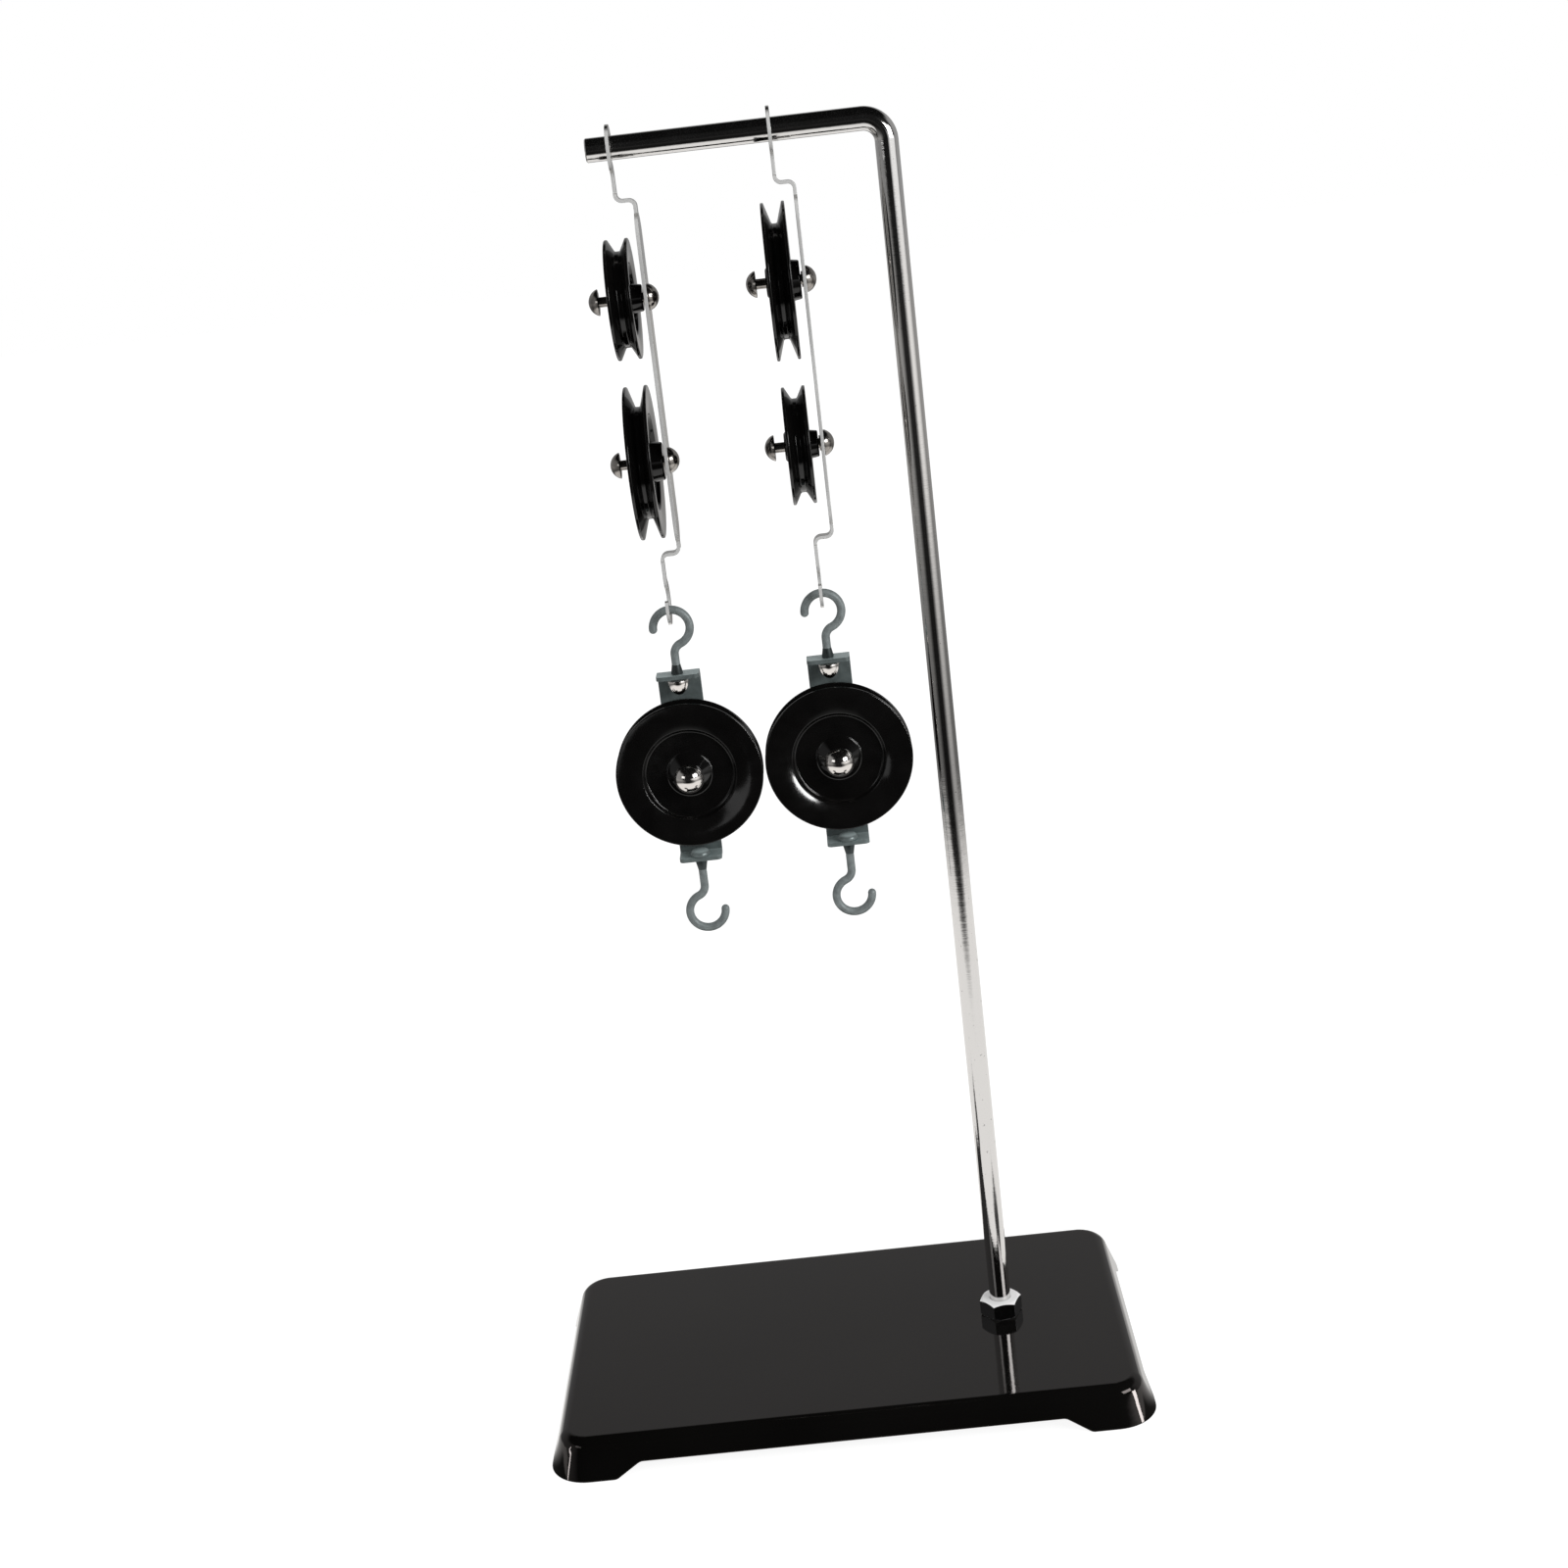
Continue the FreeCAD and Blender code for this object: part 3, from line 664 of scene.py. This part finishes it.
def dull_rivet_plating():
    """Darkened nickel on the rivets of the tandem pulleys."""
    look = Finish("dull_rivet", 1.0, 0.14)
    look.gloss(look.noise(500.0, 4.0), 0.09, 0.22)
    look.tint(look.noise(350.0, 4.0), 0.6, 1.4)
    look.relief(look.noise(420.0, 2.0), strength=0.12)
    return look


def strap_steel():
    """Grey-green plated sheet, satin; a painted highlight makes it paler where it faces up or down.
    """
    look = Finish("strap", 0.4, 0.36)
    grain = look.noise(1.0, 4.0, stretch=(1400.0, 1400.0, 90.0))
    sheet = look.tint(look.noise(170.0, 4.0), 0.75, 1.35)
    # painted highlight: faces that look up or down are painted paler and less metallic
    level = look.facing("Z", 0.55, 0.85)
    look.put(Roughness=look.between(grain, 0.26, 0.46),
             Metallic=look.spread(level, 0.0, 1.0, 0.4, 0.2))
    look.blend(level, sheet, rgba(look.base, 2.2))
    look.relief(grain, strength=0.15)
    return look


def collar_steel():
    """Dark metal on the collars of the wire hooks, much darker than the wire."""
    look = Finish("collar", 0.75, 0.36)
    look.gloss(look.noise(600.0, 4.0), 0.28, 0.46)
    return look


def hook_wire():
    """Dull zinc on the wire hooks."""
    look = Finish("wire", 0.35, 0.52)
    look.gloss(look.noise(600.0, 4.0), 0.44, 0.64)
    look.tint(look.noise(500.0, 5.0), 0.82, 1.2)
    look.relief(look.noise(1500.0, 3.0), strength=0.16)
    return look


def finish(maker):
    """The material of the finish that a maker makes, made and named on first use."""
    name = maker.__name__ + FINISH
    if name not in bpy.data.materials:
        maker().material.name = name
    return bpy.data.materials[name]


# ---- wheels
def part_name(side, kind, part):
    """Name of a node or body of one wheel: kind is large, small or single."""
    return side + ("_single_" if kind == "single" else "_tandem_" + kind + "_") + part


def lathed(outline, middle, along, steps, closed, maker, sharp=None):
    """Mesh of an outline (distance along the axle, radius) turned about an axle along X (0) or
    Y (1) through its middle."""
    start = line_mesh([(u, v, 0.0) for u, v in outline])
    axle = Vector((1 - along, along, 0))
    turn = Vector((1, 0, 0)).rotation_difference(axle).to_matrix().to_4x4()
    return grown(start, lathe_tree, Matrix.Translation(middle) @ turn, sharp, Steps=steps,
                 Closed=closed, Material=finish(maker))


def wheel_side(sizes, radius, groove, band, boss, hub, taper):
    """Corners (distance from the middle, radius, rounding) of one side of a grooved wheel, from
    its bore to its groove's root.  Its hub stands out by boss and widens by taper."""
    bore_edge, hub_edge, hub_foot, ring_foot = 0.00015, 0.0006, 0.0008, 0.0010
    ring_edge, rim_edge, lip_edge, root_edge = 0.0004, 0.0004, 0.0003, 0.0007
    face = sizes.width / 2
    dished = face - sizes.dish
    web = sizes.web / 2
    recess = radius - band
    lip = sizes.lip
    ring = [(face - (face - dished) * (1 - part) ** 2, recess + (radius - lip - recess) * part, 0)
            for part in (step / RING_STEPS for step in range(1, RING_STEPS))]
    return [
        (face + boss, sizes.bore / 2, bore_edge), (face + boss, hub, hub_edge),
        (web, hub + taper, hub_foot), (web, recess - sizes.hub_taper, ring_foot),
        (dished, recess, ring_edge), *ring, (face, radius - lip, 0), (face, radius, rim_edge),
        (face - lip, radius, lip_edge), (sizes.root_width / 2, radius - groove, root_edge),
    ]


def wheel(side, kind):
    """One wheel: kind is large, small or single."""
    sizes = stand().wheels
    node = part_name(side, kind, "sheave")
    low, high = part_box(node)
    along = AXLE[kind]
    radius = (high.z - low.z) / 2
    middle = (low + high) / 2
    middle[along] = low[along] + sizes.width / 2 + sizes.free_boss
    boss = high[along] - middle[along] - sizes.width / 2
    if kind == "small":
        groove, band, hub = sizes.small_groove, sizes.small_band, sizes.small_hub
    else:
        groove, band, hub = sizes.large_groove, sizes.large_band, sizes.large_hub
    shape = (sizes, radius, groove, band)
    framed = wheel_side(*shape, boss, hub / 2, sizes.hub_taper)
    free = wheel_side(*shape, sizes.free_boss, sizes.small_hub / 2, sizes.free_taper)
    outline = rounded(framed + [(-u, v, rounding) for u, v, rounding in reversed(free)])
    mesh = lathed(outline, middle, along, sizes.steps, 1, sheave_plastic)
    made = piece(node + "_moulded", mesh, part_name(side, kind, "wheel"), [node])
    if kind == "single":
        lit("single_wheels").objects.link(made)


class PULLEY_OT_wheels(bpy.types.Operator):
    """Grooved plastic wheels"""
    bl_idname = "pulley.wheels"
    bl_label = "Wheels"

    def execute(self, context):
        for side in SIDES:
            for kind in AXLE:
                wheel(side, kind)
        return {"FINISHED"}


# ---- axle rivets
def dome(base, height, radius, edge, side, steps=22):
    """Outline of a domed head from its rounded edge to its crown."""
    sphere = (radius ** 2 + height ** 2) / (2 * height)
    reach = math.asin(min(1.0, radius / sphere))
    out, inwards = 0.35, 0.2         # the edge's second point, in shares of its rounding
    points = [Vector((base, radius - edge)),
              Vector((base + side * edge * out, radius - inwards * edge))]
    for step in range(2, steps + 1):
        angle = reach * (1 - step / steps)
        points.append(Vector((base + side * (height - sphere * (1 - math.cos(angle))),
                              sphere * math.sin(angle))))
    return points


def rivet(side, kind):
    """One axle rivet with its two domed heads and its shoulder."""
    sizes, sheet = stand().rivets, stand().sheet
    node = part_name(side, kind, "axle")
    low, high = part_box(node)
    along = AXLE[kind]
    middle = (low + high) / 2
    head = (high.z - low.z) / 2
    shank, wide = sizes.diameter / 2, sizes.shoulder_diameter / 2
    if kind == "single":
        body, tall, plate, maker = "_single", sizes.single_head, sheet.strap, rivet_plating
    else:
        body, tall, plate, maker = "_tandem", sizes.tandem_head, sheet.frame, dull_rivet_plating
    free_face = low[along] - middle[along] + tall
    far_face = high[along] - middle[along] - tall
    near_face = far_face - plate
    shoulder = near_face - sizes.shoulder_length
    seat = 0.0001                    # rounding between the shank and the free head
    outline = dome(free_face, tall, head, sizes.head_edge, -1)[::-1]
    outline += [(free_face, shank + 2 * seat), (free_face + seat, shank), (shoulder, shank),
                (shoulder, wide), (near_face, wide), (near_face, shank), (far_face, shank)]
    outline += dome(far_face, tall, head, sizes.head_edge, 1)
    mesh = lathed(outline, middle, along, sizes.steps, 0, maker, sharp=50)
    piece(node + "_polished", mesh, side + body, [node])


class PULLEY_OT_rivets(bpy.types.Operator):
    """Axle rivets with domed heads"""
    bl_idname = "pulley.rivets"
    bl_label = "Axle rivets"

    def execute(self, context):
        for side in SIDES:
            for kind in AXLE:
                rivet(side, kind)
        return {"FINISHED"}


# ---- wire hooks
def hook(side, end):
    """One wire hook: tip, loop, reversed bend, shank with its collar, and peened head.  Its
    heights are measured away from the pulley's middle."""
    sizes = stand().hooks
    strap = stand().sheet.strap
    node = side + "_single_" + end + "_hook"
    low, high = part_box(node)
    strap_low, strap_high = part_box(side + "_single_strap")
    if end == "upper":
        up, crown, flange, foot = 1, high.z, strap_high.z, low.z
        body, head_maker = "_link_hook", rivet_plating
    else:
        up, crown, flange, foot = -1, -low.z, -strap_low.z, -high.z
        body, head_maker = "_load_hook", strap_steel
    wire = sizes.wire / 2
    loop = (high.x - low.x) / 2 - wire
    neck = sizes.neck_radius
    rise = math.sqrt(loop ** 2 + 2 * loop * neck)
    lean = math.degrees(math.atan2(rise, neck))
    centre = crown - loop - wire
    tip = quarter(8)[1:]
    points = [Vector((-loop, centre - wire * math.cos(angle))) for angle in tip]
    girths = [wire * math.sin(angle) for angle in tip]
    points += arc((0, centre), loop, 180, -lean, steps=84)
    points += arc((neck, centre - rise), neck, 180 - lean, 180, steps=26)[1:]
    girths += [wire] * (len(points) - len(girths))

    collar_foot = flange + sizes.play
    collar_top = collar_foot + sizes.collar_height
    head_top = flange - strap - sizes.play
    collar, head = sizes.collar / 2, sizes.head / 2
    nick = 0.00004                   # run of a sharp step
    slope, collar_lip, collar_edge = 0.0003, 0.00005, 0.00012
    head_edge, edge_down, edge_in = 0.0004, 0.00018, 0.0001
    end_gap, end_share = 0.000002, 0.04    # last ring, nearly closed
    shank = [(collar_top + slope, wire), (collar_top, wire + collar_lip),
             (collar_foot + slope, collar - nick), (collar_foot + nick, collar - collar_edge),
             (collar_foot, wire + nick), (head_top + nick, wire), (head_top, head - head_edge),
             (head_top - edge_down, head - edge_in)]
    tall = head_top - foot - head_edge
    shank += [(head_top - head_edge - tall * math.sin(angle), head * math.cos(angle))
              for angle in quarter(9)]
    shank.append((foot + end_gap, head * end_share))
    for height, girth in shank:
        points.append(Vector((0, height)))
        girths.append(girth)

    x = (low.x + high.x) / 2
    y = (low.y + high.y) / 2
    path = [(x + up * u, y, up * v) for u, v in points]
    mesh = grown(line_mesh(path, girths), wire_tree, sharp=40, Steps=sizes.steps,
                 Material=finish(hook_wire))
    mesh.materials.append(finish(collar_steel))
    mesh.materials.append(finish(head_maker))
    for face in mesh.polygons:
        height = up * face.center.z
        if height < flange - strap / 2:
            face.material_index = 2
        elif collar_foot - nick < height < collar_top:
            face.material_index = 1
    piece(node + "_wire", mesh, side + body, [node])


class PULLEY_OT_hooks(bpy.types.Operator):
    """Wire hooks over and under the single pulleys"""
    bl_idname = "pulley.hooks"
    bl_label = "Wire hooks"

    def execute(self, context):
        for side in SIDES:
            hook(side, "upper")
            hook(side, "lower")
        return {"FINISHED"}


# ---- rod
def joined_mesh(meshes):
    """One mesh from several that share a material."""
    shape = bmesh.new()
    for mesh in meshes:
        shape.from_mesh(mesh)
    made = bpy.data.meshes.new("joined")
    shape.to_mesh(made)
    shape.free()
    return made


class PULLEY_OT_rod(bpy.types.Operator):
    """Cranked rod with its threaded foot"""
    bl_idname = "pulley.rod"
    bl_label = "Stand rod"

    def execute(self, context):
        sizes = stand().rod
        low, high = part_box("stand_rod")
        nut_low, nut_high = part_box("upper_nut")
        radius = high.x - (nut_low.x + nut_high.x) / 2
        bend = sizes.bend_radius
        chamfer = sizes.end_chamfer
        guard = 0.001                # straight stretch before and after the bend
        axis_x = high.x - radius
        axis_z = high.z - radius
        points = [(low.x, axis_z), (low.x + chamfer, axis_z), (low.x + 2 * chamfer, axis_z),
                  (axis_x - bend - guard, axis_z)]
        points += arc((axis_x - bend, axis_z - bend), bend, 90, 0, steps=48)
        points += [(axis_x, axis_z - bend - guard), (axis_x, nut_high.z)]
        girths = [radius - chamfer] + [radius] * (len(points) - 1)
        steel = finish(rod_chrome)
        path = line_mesh([(u, 0.0, v) for u, v in points], girths)
        bar = grown(path, wire_tree, sharp=35, Steps=sizes.steps, Material=steel)
        thread = grown(bpy.data.meshes.new("thread"), thread_tree,
                       Matrix.Translation((axis_x, 0.0, low.z)), sharp=35,
                       Length=nut_high.z - low.z, Radius=radius, Depth=sizes.thread_depth,
                       Pitch=sizes.pitch, Steps=sizes.steps, Material=steel)
        rod = joined_mesh([bar, thread])
        piece("stand_rod_chromed", rod, "stand", ["stand_rod"], steel)
        return {"FINISHED"}


# ---- pressed and stamped pieces
class PULLEY_OT_base(bpy.types.Operator):
    """Pressed base plate"""
    bl_idname = "pulley.base"
    bl_label = "Base plate"

    def execute(self, context):
        edge = stand().sheet.plate_edge
        plate = eased("base_plate", "_enamelled", edge, "stand", base_enamel)
        lit("plate").objects.link(plate)
        return {"FINISHED"}


class PULLEY_OT_fasteners(bpy.types.Operator):
    """Hexagon nuts and washer"""
    bl_idname = "pulley.fasteners"
    bl_label = "Nuts and washer"

    def execute(self, context):
        for node in ("upper_nut", "lower_nut", "rod_washer"):
            eased(node, "_plated", stand().sheet.nut_edge, "stand", fastener_plating)
        return {"FINISHED"}


class PULLEY_OT_frames(bpy.types.Operator):
    """Stamped frames of the tandem pulleys"""
    bl_idname = "pulley.frames"
    bl_label = "Tandem frames"

    def execute(self, context):
        edge = stand().sheet.frame_edge
        for side in SIDES:
            eased(side + "_tandem_frame", "_plated", edge, side + "_tandem", frame_steel, 2)
        return {"FINISHED"}


class PULLEY_OT_straps(bpy.types.Operator):
    """Bent straps of the single pulleys"""
    bl_idname = "pulley.straps"
    bl_label = "Straps"

    def execute(self, context):
        edge = stand().sheet.strap_edge
        for side in SIDES:
            eased(side + "_single_strap", "_pressed", edge, side + "_single", strap_steel)
        return {"FINISHED"}


# ---- stage
def camera(stage):
    """Camera from its place and its pitch, yaw and roll."""
    pitch, yaw, roll = stage.pitch, stage.yaw, stage.roll
    ahead = Vector((math.sin(yaw) * math.cos(pitch), math.cos(yaw) * math.cos(pitch),
                    -math.sin(pitch)))
    right = Vector((math.cos(yaw), -math.sin(yaw), 0.0))
    up = right.cross(ahead)
    across = math.cos(roll) * right + math.sin(roll) * up
    upwards = -math.sin(roll) * right + math.cos(roll) * up
    data = bpy.data.cameras.new("camera")
    data.lens = stage.lens
    data.sensor_width = 36.0
    data.clip_start, data.clip_end = 0.01, 100.0
    made = new_object("camera", data)
    axes = Matrix((across, upwards, -ahead)).transposed().to_4x4()
    made.matrix_world = Matrix.Translation(stage.eye) @ axes
    bpy.context.scene.camera = made


def backdrop_rays(tree):
    """One for rays that look at the background: from the camera, or mirrored or bent."""
    path = tree.node("ShaderNodeLightPath").outputs
    mirrored = tree.math("MAXIMUM", path["Is Glossy Ray"], path["Is Transmission Ray"])
    return path["Is Camera Ray"], mirrored


# Brightness round the horizon in mirror images: degrees from behind (+Y) by the left, and grey.
RING_LIGHT = ((0, 0.36), (50, 0.30), (120, 0.24), (140, 0.006), (252, 0.006), (275, 0.36),
              (320, 0.36), (360, 0.36))
LOW_PANEL = ((0, 0.0), (190, 0.0), (208, 1.0), (252, 1.0), (268, 0.0), (360, 0.0))
# The same for the floor far from the rod.
FAR_FLOOR = ((0, 0.45), (80, 0.36), (125, 0.31), (142, 0.12), (154, 0.02), (190, 0.02),
             (204, 0.30), (217, 0.85), (232, 1.0), (248, 0.85), (266, 0.42), (275, 0.32),
             (295, 0.36), (360, 0.45))
# Steps of that brightness (from, to, value before, value after).  The first two go by how steeply
# a ray climbs, the others by metres: from the rod, behind it, and across from the base's middle.
RING_TOP = (0.52, 0.72, 1.0, 0.0)
PANEL_TOP = (0.05, 0.13, 1.0, 0.0)
NEAR_FLOOR = (0.50, 0.85, 0.95, 0.0)
FRONT_FLOOR = (-0.54, -0.34, 0.02, 1.0)
FAR_FADE = (0.75, 2.4, 0.38, 1.0)
# painted shade: the floor's glow in mirror images is darkened beside the base's front corners
CORNERS_ACROSS = ((0.098, 0.108, 0.0, 1.0), (0.16, 0.20, 1.0, 0.0))
CORNERS_BEHIND = ((-0.055, -0.035, 1.0, 0.0), (-0.13, -0.10, 0.0, 1.0))
CORNER_SHADE = 0.06
DARK_SET = 0.004  # mirror images of the set are nowhere darker
FLOOR_GLOW = 0.90  # for the camera alone


def azimuth(tree, x, y):
    """Share of a turn from behind (+Y) by the left."""
    angle = tree.math("ARCTAN2", x, tree.times(y, -1.0))
    return tree.math("ADD", tree.math("DIVIDE", angle, FULL_TURN), 0.5)


def round_horizon(tree, turn, places):
    """Grey by the share of a turn, between places (degrees, grey)."""
    ramp = tree.node("ShaderNodeValToRGB", Fac=turn)
    stops = ramp.color_ramp.elements
    stops[0].position, stops[1].position = 0.0, 1.0
    for angle, _ in places[1:-1]:
        stops.new(angle / 360.0)
    for stop, (angle, grey) in zip(stops, places):
        stop.position = angle / 360.0
        stop.color = (grey, grey, grey, 1.0)
    return ramp.outputs["Color"]


def world(stage):
    """White background, an even light, and for mirror images a set that is grey behind and at
    the sides, dark in front and overhead, with a white panel low in front on the right."""
    made = bpy.data.worlds.new("studio")
    made.use_nodes = True
    tree = Tree(made.node_tree)
    camera_ray, mirrored = backdrop_rays(tree)
    x, y, z = tree.parts(tree.node("ShaderNodeTexCoord").outputs["Generated"])
    turn = azimuth(tree, x, y)
    ring, panel = [tree.times(round_horizon(tree, turn, places), tree.spread(z, *top, True))
                   for places, top in ((RING_LIGHT, RING_TOP), (LOW_PANEL, PANEL_TOP))]
    mirror = tree.math("ADD", tree.math("MAXIMUM", ring, panel), DARK_SET)
    level = tree.math("MAXIMUM", camera_ray, tree.times(mirrored, mirror))
    lighting = tree.math("SUBTRACT", 1.0, tree.math("MAXIMUM", camera_ray, mirrored))
    rest = tree.times(lighting, stage.ambient)
    sky = made.node_tree.nodes["Background"].inputs
    tree.feed(sky["Strength"], tree.math("ADD", level, rest))
    tree.feed(sky["Color"], (1.0, 1.0, 1.0, 1.0))
    bpy.context.scene.world = made


def floor(stage):
    """Pale floor that keeps the shadow.  In mirror images it glows, a painted reflection: bright
    round the rod, dark far in front of it, with painted shade beside the base's front corners,
    and elsewhere as FAR_FLOOR says."""
    half = stage.floor_size / 2
    mesh = bpy.data.meshes.new("floor")
    mesh.from_pydata([(-half, -half, 0), (half, -half, 0), (half, half, 0), (-half, half, 0)],
                     [], [(0, 1, 2, 3)])
    made = new_object("floor", mesh)
    look = Finish("paper", 0.0, 1.0)
    camera_ray, mirrored = backdrop_rays(look)
    look.put(Specular_IOR_Level=0.0, Emission_Color=(1.0, 1.0, 1.0, 1.0),
             Emission_Strength=look.times(camera_ray, FLOOR_GLOW))
    place = look.node("ShaderNodeVectorMath", {"operation": "SUBTRACT"}, i0=look.place,
                      i1=stage.rod_foot).outputs["Vector"]
    x, y, _ = look.parts(place)
    away = look.node("ShaderNodeVectorMath", {"operation": "LENGTH"}, i0=place).outputs["Value"]
    near = look.times(look.spread(away, *NEAR_FLOOR, True), look.spread(y, *FRONT_FLOOR, True))
    far = round_horizon(look, azimuth(look, x, y), FAR_FLOOR)
    far = look.times(far, look.spread(away, *FAR_FADE))
    across = look.math("ABSOLUTE", look.parts(look.place)["X"])
    corners = 1.0
    for value, steps in ((across, CORNERS_ACROSS), (y, CORNERS_BEHIND)):
        for step in steps:
            corners = look.times(corners, look.spread(value, *step, True))
    shade = look.spread(corners, 0.0, 1.0, 1.0, CORNER_SHADE)
    strength = look.times(look.math("MAXIMUM", near, far), shade)
    # painted reflection: the floor glows only for mirrored rays, as a set seen in reflections
    paper = look.node("ShaderNodeEmission", Color=(1.0, 0.985, 0.965, 1.0), Strength=strength)
    mix = look.node("ShaderNodeMixShader", Fac=mirrored, i1=look.shader.outputs[0],
                    i2=paper.outputs[0])
    look.feed(look.group.nodes["Material Output"].inputs["Surface"], mix.outputs[0])
    mesh.materials.append(look.material)


def lit(name):
    """Collection of the objects that a lamp lights, if it doesn't light them all."""
    return bpy.data.collections.get(name) or bpy.data.collections.new(name)


def lamp(name, power, place, aim, size, only=None, turn=0.0):
    """Rectangular lamp at a place, looking at another, turned about that line in degrees."""
    data = bpy.data.lights.new(name, "AREA")
    data.shape = "RECTANGLE"
    data.size, data.size_y = size
    data.energy = power
    made = new_object(name, data)
    way = Vector(aim) - Vector(place)
    made.matrix_world = (Matrix.Translation(place) @ way.to_track_quat("-Z", "Y").to_matrix()
                         .to_4x4() @ Matrix.Rotation(math.radians(turn), 4, "Z"))
    if only:
        made.light_linking.receiver_collection = lit(only)


PULLEYS = (0.0, 0.0, 0.242)  # middle of the single pulleys
# Name, setting of the power, place, aim, size, and for some what they light and their turn.
LAMPS = (
    ("softbox", "soft_light", (0.84, -0.70, 0.67), (0.06, 0.0, 0.1), (0.64, 0.40)),
    ("left_box", "fill_light", (-0.70, -0.71, 0.55), (0.06, 0.0, 0.03), (0.40, 0.25)),
    ("right_strip", "right_light", (1.213, -0.422, 0.145), (0.1, -0.06, 0.145), (0.28, 0.28),
     "plate"),
    ("left_strip", "left_light", (-1.192, -0.479, 0.145), (-0.1, -0.06, 0.145), (0.05, 0.28),
     "plate"),
    ("wide_panel", "panel_light", (-0.191, -0.79, 0.10), PULLEYS, (0.17, 0.07),
     "single_wheels", -38.0),
    ("narrow_panel", "spot_light", (0.156, -0.79, 0.123), PULLEYS, (0.12, 0.055),
     "single_wheels", -54.0),
)


class PULLEY_OT_stage(bpy.types.Operator):
    """Camera, lamps, world and floor"""
    bl_idname = "pulley.stage"
    bl_label = "Stage"

    def execute(self, context):
        stage = stand().stage
        context.scene.view_settings.view_transform = "Standard"
        camera(stage)
        world(stage)
        floor(stage)
        for name, power, *rest in LAMPS:
            lamp(name, getattr(stage, power), *rest)
        return {"FINISHED"}


OPERATORS = (PULLEY_OT_stage, PULLEY_OT_base, PULLEY_OT_rod, PULLEY_OT_fasteners,
             PULLEY_OT_frames, PULLEY_OT_straps, PULLEY_OT_wheels, PULLEY_OT_rivets,
             PULLEY_OT_hooks)


class PULLEY_PT_panel(bpy.types.Panel):
    """Buttons for each group of pieces, and their sizes"""
    bl_idname = "PULLEY_PT_panel"
    bl_label = "Pulley demonstrator"
    bl_space_type = "VIEW_3D"
    bl_region_type = "UI"
    bl_category = "Pulleys"

    def draw(self, context):
        for operator in OPERATORS:
            self.layout.operator(operator.bl_idname)
        for group, kind in GROUPS.items():
            box = self.layout.box()
            box.label(text=group.capitalize())
            for name in kind.__annotations__:
                box.prop(getattr(stand(), group), name)


CLASSES = (*GROUPS.values(), StandSettings, *OPERATORS, PULLEY_PT_panel)


def register():
    for item in CLASSES:
        bpy.utils.register_class(item)
    bpy.types.Scene.pulley_stand = PointerProperty(type=StandSettings)


def unregister():
    del bpy.types.Scene.pulley_stand
    for item in reversed(CLASSES):
        bpy.utils.unregister_class(item)


def main():
    """Build everything."""
    register()
    for operator in OPERATORS:
        group, name = operator.bl_idname.split(".")
        getattr(getattr(bpy.ops, group), name)()


if __name__ == "__main__":
    main()
